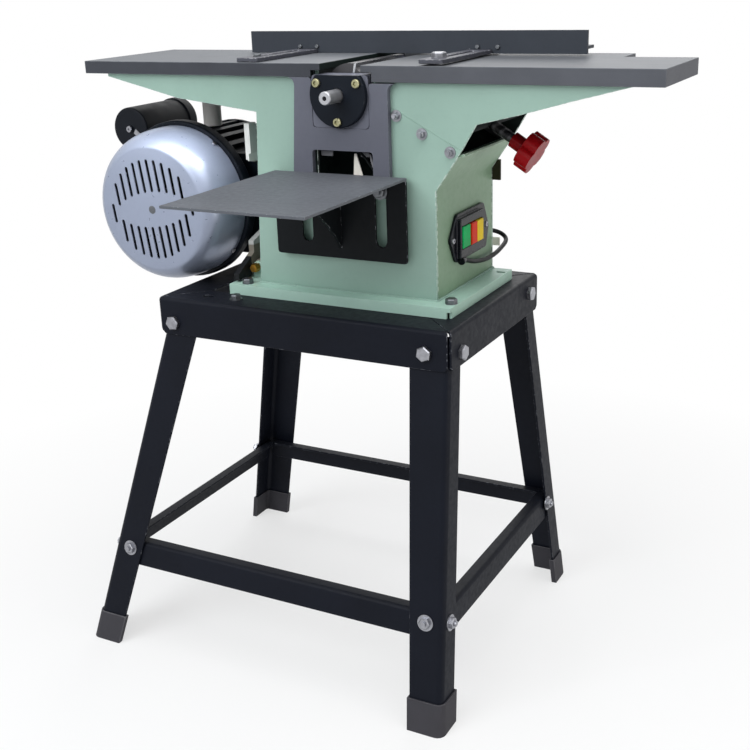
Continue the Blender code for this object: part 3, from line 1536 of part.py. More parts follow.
def make_cable():
    """The switch's cable: out under the switch, round the rear edge and in through the back plate."""
    out = BODY_RIGHT + CABLE_OFF_WALL
    y, z = SWITCH_MIDDLE
    route = [
        (out, y - 24 * MM, z - 29 * MM),
        (out, y - 10 * MM, z - 33.4 * MM),
        (out, y + 6.5 * MM, z - 38.2 * MM),
        (out, y + 30.4 * MM, z - 42.6 * MM),
        (out, y + 54.9 * MM, z - 45.1 * MM),
        (out - 0.3 * MM, y + 81 * MM, z - 44.6 * MM),
        (out - 1.3 * MM, y + 103 * MM, z - 42.2 * MM),
        (out - 3.3 * MM, y + 123 * MM, z - 39.3 * MM),
        (out - 7.3 * MM, y + 134.4 * MM, z - 36.2 * MM),
        (out - 14.3 * MM, y + 138 * MM, z - 31.8 * MM),
        (out - 22.3 * MM, y + 133.5 * MM, z - 27.5 * MM),
        (out - 30.3 * MM, y + 121 * MM, z - 23.5 * MM),
        (out - 35.3 * MM, BODY_BACK + 20 * MM, z - 21 * MM),
        (out - 36.3 * MM, BODY_BACK + 9 * MM, z - 20.2 * MM),
        (out - 36.3 * MM, BODY_BACK + GAP, z - 20.2 * MM),
    ]
    points = smooth_route(route, 2.5 * CABLE_DIAMETER)
    curve = bpy.data.curves.new("cable", "CURVE")
    curve.dimensions = "3D"
    curve.bevel_depth = CABLE_DIAMETER / 2
    curve.bevel_resolution = 2
    curve.use_fill_caps = True
    spline = curve.splines.new("POLY")
    spline.points.add(len(points) - 1)
    for place, point in zip(spline.points, points):
        place.co = (*point, 1)
    obj = bpy.data.objects.new("cable", curve)
    bpy.context.scene.collection.objects.link(obj)
    part(baked(obj), "switch_cable", "black_plastic")


def stand_on_origin():
    """Moves every piece so that the origin lies on the floor under the middle of the machine."""
    bpy.context.view_layer.update()
    corners = []
    for obj in parts_collection().objects:
        corners += [obj.matrix_world @ Vector(corner) for corner in obj.bound_box]
    middle_x = (min(c.x for c in corners) + max(c.x for c in corners)) / 2
    middle_y = (min(c.y for c in corners) + max(c.y for c in corners)) / 2
    for obj in parts_collection().objects:
        obj.location -= Vector((middle_x, middle_y, 0))


def main():
    clear_scene()
    make_legs()
    make_rails()
    make_base()
    make_plates()
    make_walls()
    make_chute()
    make_front_frame()
    make_bearing_blocks()
    make_bearing_cap()
    make_cutter()
    make_drive()
    make_outfeed()
    make_infeed()
    make_ways()
    make_carriage()
    make_height_screw()
    make_fence()
    make_shelf()
    make_cowl()
    make_fan()
    make_motor_ring()
    make_motor_frame()
    make_rotor()
    make_capacitor()
    make_motor_plate()
    make_stay()
    make_switch()
    make_cable()
    stand_on_origin()


main()
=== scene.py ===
import json
import math

import bmesh
import bpy
from mathutils import Matrix, Vector
from mathutils.bvhtree import BVHTree


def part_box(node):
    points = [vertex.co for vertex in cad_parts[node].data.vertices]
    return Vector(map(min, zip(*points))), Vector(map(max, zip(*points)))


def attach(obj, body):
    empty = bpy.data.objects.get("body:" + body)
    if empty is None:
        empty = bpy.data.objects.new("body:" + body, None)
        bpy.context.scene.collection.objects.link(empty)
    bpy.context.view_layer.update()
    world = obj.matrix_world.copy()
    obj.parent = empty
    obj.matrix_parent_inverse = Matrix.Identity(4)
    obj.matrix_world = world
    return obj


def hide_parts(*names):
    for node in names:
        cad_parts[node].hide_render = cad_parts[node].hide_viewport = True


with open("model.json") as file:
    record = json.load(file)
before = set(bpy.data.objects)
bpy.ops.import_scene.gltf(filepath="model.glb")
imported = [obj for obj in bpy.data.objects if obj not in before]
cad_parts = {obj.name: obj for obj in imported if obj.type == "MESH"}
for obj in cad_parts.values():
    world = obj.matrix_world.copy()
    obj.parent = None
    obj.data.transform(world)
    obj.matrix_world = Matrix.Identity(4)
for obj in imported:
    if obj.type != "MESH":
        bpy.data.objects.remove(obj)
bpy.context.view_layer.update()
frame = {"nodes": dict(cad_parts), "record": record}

bl_info = {
    "name": "Surface planer finish",
    "version": (1, 0, 0),
    "blender": (4, 5, 0),
    "location": "View3D > Sidebar > Planer",
    "description": "Finishes, fastenings, cable and stage for the bench surface planer",
    "category": "Object",
}

MM = 0.001
BODIES = frame["record"]["behaviour"]["bodies"]
BODY_OF = {node: body for body, nodes in BODIES.items() for node in nodes}
LEFT, RIGHT = Vector((-1, 0, 0)), Vector((1, 0, 0))
FRONT, REAR = Vector((0, -1, 0)), Vector((0, 1, 0))
DOWN, UP = Vector((0, 0, -1)), Vector((0, 0, 1))
INCLINE = math.radians(32)


# Places. The maker's drawing counts X and Y from the body's datum, 86 mm left of the cutter's axis
# and 92 mm behind the bearing cap's face, and Z from the floor.
CUTTER_AXIS, MOTOR_AXIS, HINGE_AXIS = (86, 759), (-197, 606), (-68, 527.8)  # X and Z of lines along Y
KNOB_MIDDLE = (281.4, 0, 697.5)
BACK_FACE = 101.4  # Y just clear of the back plate
FAR = 600  # Outside the machine on every side


def low(node):
    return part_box(node)[0]


def high(node):
    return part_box(node)[1]


def middle(node):
    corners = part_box(node)
    return (corners[0] + corners[1]) / 2


DATUM = Vector((middle("bearing_cap").x - CUTTER_AXIS[0] * MM, low("bearing_cap").y + 92 * MM, 0))


def at(x, y, z):
    """A place on the drawing, given in millimetres from its datum, in the scene."""
    return DATUM + Vector((x, y, z)) * MM


TREES = {}


def landed(start, toward, *nodes):
    """Where a straight line from start first meets one of the nodes, and which way that face looks."""
    nearest = None
    for name in nodes:
        if name not in TREES:
            mesh = frame["nodes"][name].data
            corners = [v.co for v in mesh.vertices]
            TREES[name] = BVHTree.FromPolygons(corners, [tuple(p.vertices) for p in mesh.polygons])
        place, normal, _, distance = TREES[name].ray_cast(start, toward)
        if place is not None and (nearest is None or distance < nearest[2]):
            nearest = (place, normal, distance)
    if nearest is None:
        raise RuntimeError(f"nothing of {nodes} lies on the line from {tuple(start)}")
    return nearest[0], nearest[1]


# Colours and nodes


def light_of(channel):
    """One sRGB channel from 0 to 1 as linear light."""
    if channel <= 0.04045:
        return channel / 12.92
    return ((channel + 0.055) / 1.055) ** 2.4


def colour_of(code):
    """A six-digit sRGB hex value as linear red, green, blue and alpha."""
    return (*(light_of(int(code[i : i + 2], 16) / 255) for i in (0, 2, 4)), 1.0)


# What each short name adds: the node's type, the inputs that its values go to in turn, the output that is
# passed on, or None for all of them, and its settings.
KINDS = {
    "place": ("ShaderNodeTexCoord", (), "Object", {}),
    "facing": ("ShaderNodeNewGeometry", (), "Normal", {}),
    "worn": ("ShaderNodeAttribute", (), "Fac", {"attribute_name": "worn"}),
    "axes": ("ShaderNodeSeparateXYZ", (0,), None, {}),
    "stretch": ("ShaderNodeMapping", ("Vector", "Scale"), 0, {}),
    "noise": ("ShaderNodeTexNoise", ("Vector", "Scale", "Detail", "Roughness"), "Fac", {}),
    "ramp": ("ShaderNodeMapRange", (0, 1, 2, 3, 4), 0, {}),
    "mix": ("ShaderNodeMix", (0, 6, 7), 2, {"data_type": "RGBA"}),
    "bump": ("ShaderNodeBump", ("Strength", "Distance", "Height"), 0, {}),
    "add": ("ShaderNodeMath", (0, 1), 0, {"operation": "ADD"}),
    "multiply": ("ShaderNodeMath", (0, 1), 0, {"operation": "MULTIPLY"}),
    "divide": ("ShaderNodeMath", (0, 1), 0, {"operation": "DIVIDE"}),
    "larger": ("ShaderNodeMath", (0, 1), 0, {"operation": "MAXIMUM"}),
    "length": ("ShaderNodeVectorMath", (0,), "Value", {"operation": "LENGTH"}),
    "rays": ("ShaderNodeLightPath", (), None, {}),
    "background": ("ShaderNodeBackground", (0, 1), 0, {}),
    "emission": ("ShaderNodeEmission", (0, 1), 0, {}),
    "mix_shaders": ("ShaderNodeMixShader", (0, 1, 2), 0, {}),
    "world": ("ShaderNodeOutputWorld", (0,), None, {}),
    "rise": ("ShaderNodeCombineXYZ", (2,), 0, {}),
    "move": ("GeometryNodeTransform", ("Geometry", "Translation"), 0, {}),
    "cylinder": ("GeometryNodeMeshCylinder", ("Vertices", "Radius", "Depth"), "Mesh", {}),
    "cone": ("GeometryNodeMeshCone", ("Vertices", "Radius Bottom", "Radius Top", "Depth"), "Mesh", {}),
    "ball": ("GeometryNodeMeshIcoSphere", ("Radius", "Subdivisions"), "Mesh", {}),
    "join": ("GeometryNodeJoinGeometry", (0, 0, 0, 0), 0, {}),
    "union": ("GeometryNodeMeshBoolean", ("Mesh 2",), 0, {"operation": "UNION"}),
    "difference": ("GeometryNodeMeshBoolean", ("Mesh 1", "Mesh 2"), 0, {"operation": "DIFFERENCE"}),
    "site_axis": ("GeometryNodeInputNamedAttribute", ("Name",), 0, {"data_type": "FLOAT_VECTOR"}),
    "site_turn": ("GeometryNodeInputNamedAttribute", ("Name",), 0, {"data_type": "FLOAT"}),
    "align": ("FunctionNodeAlignRotationToVector", ("Vector",), 0, {"axis": "Z"}),
    "spin": ("FunctionNodeAxisAngleToRotation", ("Axis", "Angle"), 0, {}),
    "rotate": ("FunctionNodeRotateRotation", ("Rotation", "Rotate By"), 0, {"rotation_space": "LOCAL"}),
    "copies": ("GeometryNodeInstanceOnPoints", ("Points", "Instance", "Rotation", "Scale"), 0, {}),
    "realise": ("GeometryNodeRealizeInstances", ("Geometry",), 0, {}),
    "coat": ("GeometryNodeSetMaterial", ("Geometry", "Material"), 0, {}),
    "line": ("GeometryNodeMeshToCurve", ("Mesh",), 0, {}),
    "resample": ("GeometryNodeResampleCurve", ("Curve", "Length"), 0, {"mode": "LENGTH"}),
    "points": ("GeometryNodeCurveToPoints", ("Curve",), "Points", {"mode": "EVALUATED"}),
    "random": ("FunctionNodeRandomValue", (2, 3, "Seed"), 1, {"data_type": "FLOAT"}),
    "helix": (
        "GeometryNodeCurveSpiral", ("Resolution", "Rotations", "Start Radius", "End Radius", "Height"), 0, {},
    ),
    "ring": ("GeometryNodeCurvePrimitiveCircle", ("Resolution", "Radius"), 0, {}),
    "sweep": ("GeometryNodeCurveToMesh", ("Curve", "Profile Curve", "Fill Caps"), 0, {}),
}


def wire(tree, kind, *values):
    """Adds a node of KINDS. A value is what its input holds, the socket linked to it, or None to skip it."""
    type_name, inputs, output, settings = KINDS[kind]
    made = tree.nodes.new(type_name)
    for name, value in settings.items():
        setattr(made, name, value)
    for key, value in zip(inputs, values):
        if isinstance(value, bpy.types.NodeSocket):
            tree.links.new(value, made.inputs[key])
        elif value is not None:
            made.inputs[key].default_value = value
    return made.outputs if output is None else made.outputs[output]


# Sizes and colours that a user would change


def length_size(name, description, millimetres):
    return bpy.props.FloatProperty(
        name=name,
        description=description,
        default=millimetres * MM,
        min=0.0,
        unit="LENGTH",
        subtype="DISTANCE",
    )


def paint_colour(name, description, code):
    return bpy.props.FloatVectorProperty(
        name=name,
        description=description,
        default=colour_of(code),
        size=4,
        min=0.0,
        max=1.0,
        subtype="COLOR",
    )


class PlanerSizes(bpy.types.PropertyGroup):
    """Sizes of the finish and of the fastenings."""

    knob_share: bpy.props.FloatProperty(
        name="Knob share", description="Radius of the shown knob as a share of the CAD knob's", default=0.88
    )
    edge_round: length_size("Edge round", "Radius on the edges of sheet and castings", 0.6)
    apron_head: length_size("Apron bolt head", "Across the flats of the stand's bolts", 17)
    apron_washer: length_size("Stretcher washer", "Diameter of the round washers", 21)
    way_head: length_size("Way bolt head", "Across the flats of the nuts that hold the ways", 8)
    way_washer: length_size("Way washer", "Diameter of the washers under those nuts", 14)
    base_head: length_size("Base bolt head", "Across the flats of the bolts through the base", 13)
    clamp_head: length_size("Bar clamp head", "Across the flats of the fence bars' clamps", 15.5)
    clamp_washer: length_size("Bar clamp washer", "Diameter of the washers under the clamps", 18)
    cap_screw: length_size("Cap screw head", "Diameter of the bearing cap's screws", 10.5)
    cross_screw: length_size("Cover screw head", "Diameter of the small cross-head screws", 7)
    weld_width: length_size("Weld width", "Width of the seams at the foot of the body", 4.2)
    thread_pitch: length_size("Thread pitch", "Pitch that shows on the height screw", 2)
    cable: length_size("Cable", "Diameter of the switch's cable", 6)


class PlanerColours(bpy.types.PropertyGroup):
    """Colours of the paints, plastics and metals."""

    green: paint_colour("Green", "Enamel on the body", "93AFA3")
    stand: paint_colour("Stand", "Enamel on the stand", "10131C")
    frame: paint_colour("Frame", "Paint on the front frame and the tables' rims", "62646F")
    table: paint_colour("Table", "Ground steel of the tables", "707378")
    fence: paint_colour("Fence", "Paint on the fence", "3E4249")
    # The shelf's top colour is a painted reflection on its one dark paint.
    shelf: paint_colour("Shelf", "Paint on the shelf's top", "5F6268")
    motor: paint_colour("Cowl", "Silver paint on the motor's cowl", "8B93A6")
    black: paint_colour("Black", "Enamel on the motor and the bearing cap", "131820")
    knob: paint_colour("Knob", "Moulded height knob", "880A10")
    start: paint_colour("Start button", "Green button", "06A85A")
    stop: paint_colour("Stop button", "Red button", "D22E12")
    reset: paint_colour("Third button", "Yellow button", "EBCB1C")


# Materials


def new_material(name):
    """A material, its tree, its shader and the place on the object that its patterns follow."""
    material = bpy.data.materials.new(name)
    material.use_nodes = True
    tree = material.node_tree
    return material, tree, tree.nodes["Principled BSDF"], wire(tree, "place")


def shaded(colour, factor):
    return (*(min(1.0, c * factor) for c in colour[:3]), 1.0)


def between(tree, value, start, end):
    """1 from start to end, falling to 0 over a millimetre inside each."""
    rise = wire(tree, "ramp", value, start, start + 1 * MM)
    return wire(tree, "multiply", rise, wire(tree, "ramp", value, end, end - 1 * MM))


def surfaced(tree, shader, tone, gloss, grain, strength, depth):
    """Gives the shader its colour, its roughness and a bump that is depth millimetres deep."""
    bump = wire(tree, "bump", strength, depth * MM, grain)
    for socket, name in ((tone, "Base Color"), (gloss, "Roughness"), (bump, "Normal")):
        tree.links.new(socket, shader.inputs[name])


BLACK = (0, 0, 0, 1)
# Near black for painted shade inside the body, in the frame's window and at the cutter's mouth.
PAINTED_SHADE_DARK = colour_of("182220")
BODY_REACH = (-50, 330)  # X between which a body plate's inside takes painted shade


def painted(name, colour, rough, *, peel=2.5, peel_depth=0.05, mottle=0.06, chip=None, chips=0.4,
            specular=0.2, dust=None, dusty=0.0, metallic=0.0, zones=(), inside=None, hollow=None):
    """A paint: broad and fine unevenness of colour, orange peel, uneven gloss, and edges worn to chip.

    zones are (axis, low, high, colour): between the two heights on that axis the paint turns to it.
    inside is (axis, sign): faces of the body's box that look that way are darkened as painted shade.
    hollow is (left, right, foot, top): so is all that lies between them."""
    material, tree, shader, place = new_material(name)
    axes = wire(tree, "axes", place)
    broad = wire(tree, "ramp", wire(tree, "noise", place, 1 / (90 * MM), 3.0), 0.35, 0.65)
    fine = wire(tree, "noise", place, 1 / (7 * MM), 4.0, 0.6)
    tone = colour
    for axis, start, end, other in zones:
        tone = wire(tree, "mix", wire(tree, "ramp", axes[axis], start, end), tone, other)
    if zones:
        tone = wire(tree, "mix", broad, wire(tree, "mix", mottle * 2, tone, BLACK), tone)
    else:
        tone = wire(tree, "mix", broad, shaded(tone, 1 - mottle), shaded(tone, 1 + mottle))
    tone = wire(tree, "mix", wire(tree, "ramp", fine, 0.5, 0.8, 0.0, mottle), tone, BLACK)
    # Painted shade on the faces inside the body's box.
    if inside:
        axis, sign = inside
        look = wire(tree, "multiply", wire(tree, "axes", wire(tree, "facing"))[axis], sign)
        span = between(tree, axes[0], *(at(x, 0, 0).x for x in BODY_REACH))
        share = wire(tree, "multiply", span, wire(tree, "ramp", look, 0.5, 0.6))
        tone = wire(tree, "mix", share, tone, PAINTED_SHADE_DARK)
    # Painted shade over the frame's window.
    if hollow:
        left, right, foot, top = hollow
        share = wire(tree, "multiply", between(tree, axes[0], left, right), between(tree, axes[2], foot, top))
        tone = wire(tree, "mix", share, tone, PAINTED_SHADE_DARK)
    if dust:
        upward = wire(tree, "ramp", wire(tree, "axes", wire(tree, "facing"))[2], 0.5, 1.0, 0.0, dusty)
        share = wire(tree, "multiply", upward, wire(tree, "ramp", fine, 0.2, 0.7))
        tone = wire(tree, "mix", share, tone, dust)
    if chip:
        nicks = wire(tree, "noise", place, 1 / (5 * MM), 3.0, 0.7)
        where = wire(tree, "ramp", nicks, 0.62 - 0.25 * chips, 0.7 - 0.25 * chips)
        tone = wire(tree, "mix", wire(tree, "multiply", wire(tree, "worn"), where), tone, chip)
    shader.inputs["Metallic"].default_value = metallic
    shader.inputs["Specular IOR Level"].default_value = specular
    gloss = wire(tree, "ramp", fine, 0.3, 0.7, rough - 0.06, rough + 0.08)
    skin = wire(tree, "noise", place, 1 / (peel * MM), 2.0)
    surfaced(tree, shader, tone, gloss, skin, 0.5, peel_depth)
    return material


def turned_metal(name, colour, rough, *, grain=(0.4, 40, 40), depth=0.02, stain=None, stains=0.0,
                 metallic=1.0, dark=None):
    """Bare or plated metal: lines along the way it was cut, uneven gloss and a little staining.

    grain is how far a line's unevenness runs along each axis, in millimetres.
    dark is (axis, start, full, colour): from the first place to the second on that axis the metal darkens to
    that colour, as painted shade."""
    material, tree, shader, place = new_material(name)
    drawn = wire(tree, "stretch", place, tuple(1 / (size * MM) for size in grain))
    lines = wire(tree, "noise", drawn, 1.0, 3.0)
    cloud = wire(tree, "noise", place, 1 / (25 * MM), 4.0, 0.6)
    tone = wire(tree, "mix", wire(tree, "ramp", lines, 0.3, 0.7), shaded(colour, 0.86), shaded(colour, 1.1))
    if stain:
        tone = wire(tree, "mix", wire(tree, "ramp", cloud, 0.5, 0.75, 0.0, stains), tone, stain)
    if dark:
        axis, clean, oiled, shade_colour = dark
        along = wire(tree, "axes", place)[axis]
        tone = wire(tree, "mix", wire(tree, "ramp", along, clean, oiled), tone, shade_colour)
    shader.inputs["Metallic"].default_value = metallic
    gloss = wire(tree, "ramp", wire(tree, "add", lines, cloud), 0.7, 1.3, rough - 0.07, rough + 0.1)
    surfaced(tree, shader, tone, gloss, lines, 0.6, depth)
    return material


def moulded(name, colour, rough, *, texture=0.8, depth=0.02, specular=0.5, scuff=None):
    """Moulded plastic or rubber: a fine spark texture, slight flow marks, and scuffed edges."""
    material, tree, shader, place = new_material(name)
    flow = wire(tree, "noise", place, 1 / (18 * MM), 2.0)
    fine = wire(tree, "noise", place, 1 / (texture * MM), 3.0, 0.6)
    tone = wire(tree, "mix", wire(tree, "ramp", flow, 0.35, 0.65), shaded(colour, 0.9), shaded(colour, 1.06))
    if scuff:
        share = wire(tree, "multiply", wire(tree, "worn"), wire(tree, "ramp", flow, 0.35, 0.7, 0.1, 0.6))
        tone = wire(tree, "mix", share, tone, scuff)
    shader.inputs["Specular IOR Level"].default_value = specular
    gloss = wire(tree, "ramp", flow, 0.3, 0.7, rough - 0.04, rough + 0.08)
    surfaced(tree, shader, tone, gloss, fine, 0.5, depth)
    return material


def table_finish(name, steel, rim, mouth):
    """Ground steel on top and grey paint elsewhere, with painted shade on the face that looks to the cutter."""
    material, tree, shader, place = new_material(f"ground_steel_{name}")
    lines = wire(tree, "noise", wire(tree, "stretch", place, (12, 900, 900)), 1.0, 2.0)
    cloud = wire(tree, "noise", place, 1 / (60 * MM), 4.0, 0.6)
    looks = wire(tree, "axes", wire(tree, "facing"))
    upward = wire(tree, "ramp", looks[2], 0.7, 0.8)
    ground = wire(tree, "mix", wire(tree, "ramp", lines, 0.35, 0.65), shaded(steel, 0.88), shaded(steel, 1.08))
    ground = wire(tree, "mix", wire(tree, "ramp", cloud, 0.5, 0.75, 0.0, 0.35), ground, shaded(steel, 0.7))
    paint = wire(tree, "mix", wire(tree, "ramp", cloud, 0.35, 0.65), shaded(rim, 0.9), shaded(rim, 1.05))
    edge = wire(tree, "multiply", wire(tree, "worn"), wire(tree, "ramp", cloud, 0.4, 0.6, 0.1, 0.8))
    paint = wire(tree, "mix", edge, paint, shaded(steel, 1.1))
    # Painted shade on the face that looks into the cutter's mouth.
    toward = wire(tree, "ramp", wire(tree, "multiply", looks[0], mouth), 0.5, 0.6)
    paint = wire(tree, "mix", toward, paint, PAINTED_SHADE_DARK)
    tree.links.new(wire(tree, "multiply", upward, 0.3), shader.inputs["Metallic"])
    shader.inputs["Specular IOR Level"].default_value = 0.1
    gloss = wire(tree, "ramp", lines, 0.3, 0.7, 0.45, 0.58)
    surfaced(tree, shader, wire(tree, "mix", upward, paint, ground), gloss, lines, 0.4, 0.01)
    return material


MATERIALS = {}


def make_materials(colours):
    """Every finish of the machine, by a short name."""
    green = tuple(colours.green)
    stand = tuple(colours.stand)
    grey = tuple(colours.frame)
    primer = colour_of("C9D6CF")
    made = MATERIALS
    # Stoving enamel sprayed on pressed sheet: satin, a slight orange peel, pale nicks on its edges.
    enamel = {"chip": primer, "chips": 0.7, "mottle": 0.035, "specular": 0.25}
    # The frame's window and the plates' insides take painted shade.
    window = (at(43, 0, 0).x, at(129, 0, 0).x, 636 * MM, 800 * MM)
    # The right wall's green is darkened and yellowed as painted shade on that side.
    green_in_painted_shade = tuple(a * b for a, b in zip(green, (0.68, 0.71, 0.56, 1)))
    for key, coat, inside, hollow in (
        ("front", green, (1, 1), window), ("back", green, (1, -1), None),
        ("left", green, (0, 1), None), ("right", green_in_painted_shade, (0, -1), None),
    ):
        made[f"green_{key}"] = painted(f"sage_enamel_{key}", coat, 0.42, inside=inside, hollow=hollow, **enamel)
    # The base's green is half again as light as the body's: painted light.
    made["green_base_painted_light"] = painted("sage_enamel_on_base", shaded(green, 1.5), 0.42, chip=primer, chips=0.8,
                                 mottle=0.05, specular=0.25)
    # Black stoving enamel on pressed legs: smooth, low gloss, edges rubbed to grey steel.
    made["stand"] = painted("black_stoving_enamel", stand, 0.48, chip=colour_of("5E6066"), chips=0.3,
                            mottle=0.1, specular=0.1, peel_depth=0.03, dust=colour_of("4A4947"), dusty=0.1)
    # Grey machine paint on cast and folded pieces, a little coarser.
    made["grey"] = painted("grey_machine_paint", grey, 0.5, chip=colour_of("A9A9AC"), chips=0.4, mottle=0.05)
    made["bearing_grey"] = painted("grey_paint_on_casting", shaded(grey, 1.1), 0.55, peel=1.6,
                                   peel_depth=0.15, mottle=0.08)
    # Painted plate: satin dark grey, no grain.
    made["fence"] = painted("dark_grey_fence_paint", tuple(colours.fence), 0.45, chip=colour_of("7E8187"),
                            chips=0.25, mottle=0.06, specular=0.1)
    # One paint on the shelf: grey on its top as painted reflection, near black below as painted shade.
    step = high("mortise_shelf").z - 4 * MM
    made["shelf"] = painted(
        "shelf_paint_painted_reflection_and_shade", colour_of("111417"), 0.5, chip=colour_of("8F9297"), chips=0.3, mottle=0.05,
        specular=0.1, zones=((2, step - 1 * MM, step, tuple(colours.shelf)),),
    )
    # Silver cover paint: fine metal flake, soft sheen.
    made["silver"] = painted("silver_cover_paint", tuple(colours.motor), 0.33, peel=1.2, peel_depth=0.03,
                             mottle=0.03, metallic=0.45, specular=0.6, chip=colour_of("D5D8E4"), chips=0.2)
    made["black"] = painted("black_motor_enamel", tuple(colours.black), 0.42, peel=2.0, peel_depth=0.1,
                            mottle=0.1, specular=0.1, chip=colour_of("33363D"), chips=0.2)
    # On the motor plate, the brown-grey foot, the near-black band from 572 mm and the near-black front toe are
    # painted shade; the light grey from 556 mm and the near-white tab are its paint.
    front_toe = at(0, -57, 0).y
    made["plate_grey"] = painted(
        "motor_plate_paint_painted_shade", colour_of("7E786E"), 0.55, mottle=0.1, chip=colour_of("5E5750"), chips=0.3,
        zones=(
            (2, 555 * MM, 557 * MM, colour_of("B9BAB8")), (2, 571 * MM, 573 * MM, colour_of("1C1F22")),
            (1, front_toe, front_toe - 1 * MM, colour_of("17191C")),
            (2, 664 * MM, 666 * MM, colour_of("F2F2EE")),
        ),
    )
    made["tab"] = painted("white_primer_tab", colour_of("F2F2EE"), 0.5, mottle=0.04)
    made["stay_grey"] = painted("light_grey_tube_paint", colour_of("D6D2CE"), 0.45, mottle=0.05)
    # Surface-ground steel: fine lines along the feed, dulled by handling.
    # Both rims are darker than the frame's paint, the outfeed's most, and the infeed's steel is three quarters
    # as light as the outfeed's: painted shade.
    made["outfeed"] = table_finish("outfeed", tuple(colours.table), colour_of("42444A"), 1)
    made["infeed"] = table_finish("infeed", shaded(tuple(colours.table), 0.75), colour_of("55575D"), -1)
    # Milled way strips: lines along their length.
    made["way"] = turned_metal("milled_flat_bar", colour_of("5B5C5F"), 0.4, grain=(30, 0.5, 30))
    made["bar"] = painted("grey_bar_paint", colour_of("4C4D55"), 0.45, chip=colour_of("8A8B90"), chips=0.4,
                          mottle=0.08)
    # Turned bright steel: rings round the axis.
    made["bright"] = turned_metal("turned_bright_steel", colour_of("B4B5BB"), 0.26, grain=(30, 0.5, 30))
    # The cutter block: a bright journal in front, and the block darkened as painted shade where it lies inside
    # the body.
    made["oiled"] = turned_metal("block_steel_painted_shade_inside", colour_of("B2B3B8"), 0.35, grain=(30, 0.5, 30),
                                 metallic=0.8, dark=(1, at(0, -80, 0).y, at(0, -77, 0).y, colour_of("4B4A4C")))
    made["zinc"] = turned_metal("zinc_plated_steel", colour_of("9C9DA3"), 0.36, grain=(4, 4, 4), depth=0.05,
                                stain=colour_of("5F5F64"), stains=0.5)
    made["dull_zinc"] = turned_metal("dull_zinc_plated_steel", colour_of("6F7276"), 0.42, grain=(3, 3, 3),
                                     depth=0.06, stain=colour_of("3B3E43"), stains=0.7)
    made["yellow_zinc"] = turned_metal("yellow_passivated_steel", colour_of("9F9C7C"), 0.4, grain=(3, 3, 3),
                                       depth=0.05, stain=colour_of("6F7050"), stains=0.7)
    made["brass"] = turned_metal("brass_nut", colour_of("B98B3C"), 0.35, grain=(3, 3, 3), depth=0.04)
    made["iron"] = painted("grey_cast_iron", colour_of("4C4E52"), 0.6, peel=1.4, peel_depth=0.25, mottle=0.12)
    made["knife"] = turned_metal("ground_tool_steel", colour_of("C4C6CA"), 0.2, grain=(0.6, 20, 0.6))
    # EPDM rubber: matt, faintly grainy.
    made["rubber"] = moulded("moulded_rubber_cap", colour_of("37363B"), 0.75, texture=1.6, depth=0.08,
                             specular=0.3, scuff=colour_of("6A696C"))
    made["belt"] = moulded("rubber_belt", colour_of("1D1D1F"), 0.8, texture=1.2, depth=0.08, specular=0.3)
    # Soft PVC: a dull sheen, nearly smooth.
    made["pvc"] = moulded("black_pvc_sheath", colour_of("101214"), 0.4, texture=1.2, depth=0.03,
                          specular=0.12)
    # ABS: glossy, with scuffed corners.
    made["switch"] = moulded("black_abs_switch", colour_of("0A0D14"), 0.25, specular=0.2,
                             scuff=colour_of("3A3D45"))
    made["capacitor"] = moulded("black_capacitor_sleeve", colour_of("0A0F18"), 0.45, texture=2.5, depth=0.06,
                                specular=0.15)
    made["fan"] = moulded("black_nylon_fan", colour_of("121418"), 0.5)
    # Phenolic: hard and dense, pressed smooth.
    made["knob"] = moulded("crimson_phenolic", tuple(colours.knob), 0.32, specular=0.08,
                           scuff=colour_of("A8221C"))
    for key, colour in (("green", colours.start), ("red", colours.stop), ("yellow", colours.reset)):
        made[f"{key}_button"] = moulded(f"{key}_button_abs", tuple(colour), 0.32, texture=0.5, specular=0.06,
                                        scuff=shaded(tuple(colour), 1.2))
    # Raw steel of the height screw, darkened with oil.
    made["screw"] = turned_metal("oiled_screw_steel", colour_of("4A4A4C"), 0.4, grain=(30, 30, 30))
    # The weld's enamel is a little lighter than the body's, a painted highlight along the seams.
    made["weld"] = painted("enamel_over_weld", shaded(green, 1.08), 0.4, peel=1.5, peel_depth=0.2,
                           mottle=0.05)
    # Sheets and brackets inside and behind the body: thin, plain coats. The near-black coat on the chip chute
    # and the cross tie and the dark olive strap are painted shade; the near-white sheet of the window's left
    # strip is painted light.
    made["inner"] = painted("cream_inner_sheet", colour_of("FBF5EA"), 0.6, mottle=0.05)
    made["inner_grey"] = painted("grey_inner_sheet", colour_of("8A8A8E"), 0.6, mottle=0.05)
    made["primer"] = painted("near_black_painted_shade", colour_of("15191A"), 0.7, specular=0.1, mottle=0.1)
    made["olive"] = painted("dark_olive_painted_shade", colour_of("2F2E20"), 0.5, specular=0.1, mottle=0.1)


# Pieces


SLOTS = {}


def read_slots():
    """Which material slot of the record each node has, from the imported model's own materials."""
    for name, obj in frame["nodes"].items():
        SLOTS[name] = obj.data.materials[0].name.split(".")[0] if obj.data.materials else "frame_grey"


def linked(name, data):
    """A new object in the scene."""
    obj = bpy.data.objects.new(name, data)
    bpy.context.scene.collection.objects.link(obj)
    return obj


def piece(mesh, name, material, body, slot, *nodes):
    """A finished piece: it rides on its body and hides the nodes it stands for."""
    obj = linked(name, mesh)
    if material is not None:
        mesh.materials.clear()
        mesh.materials.append(MATERIALS[material])
    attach(obj, body)
    if nodes:
        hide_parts(*nodes)
    return obj


def smoothed(mesh, degrees=35):
    mesh.polygons.foreach_set("use_smooth", [True] * len(mesh.polygons))
    mesh.set_sharp_from_angle(angle=math.radians(degrees))
    return mesh


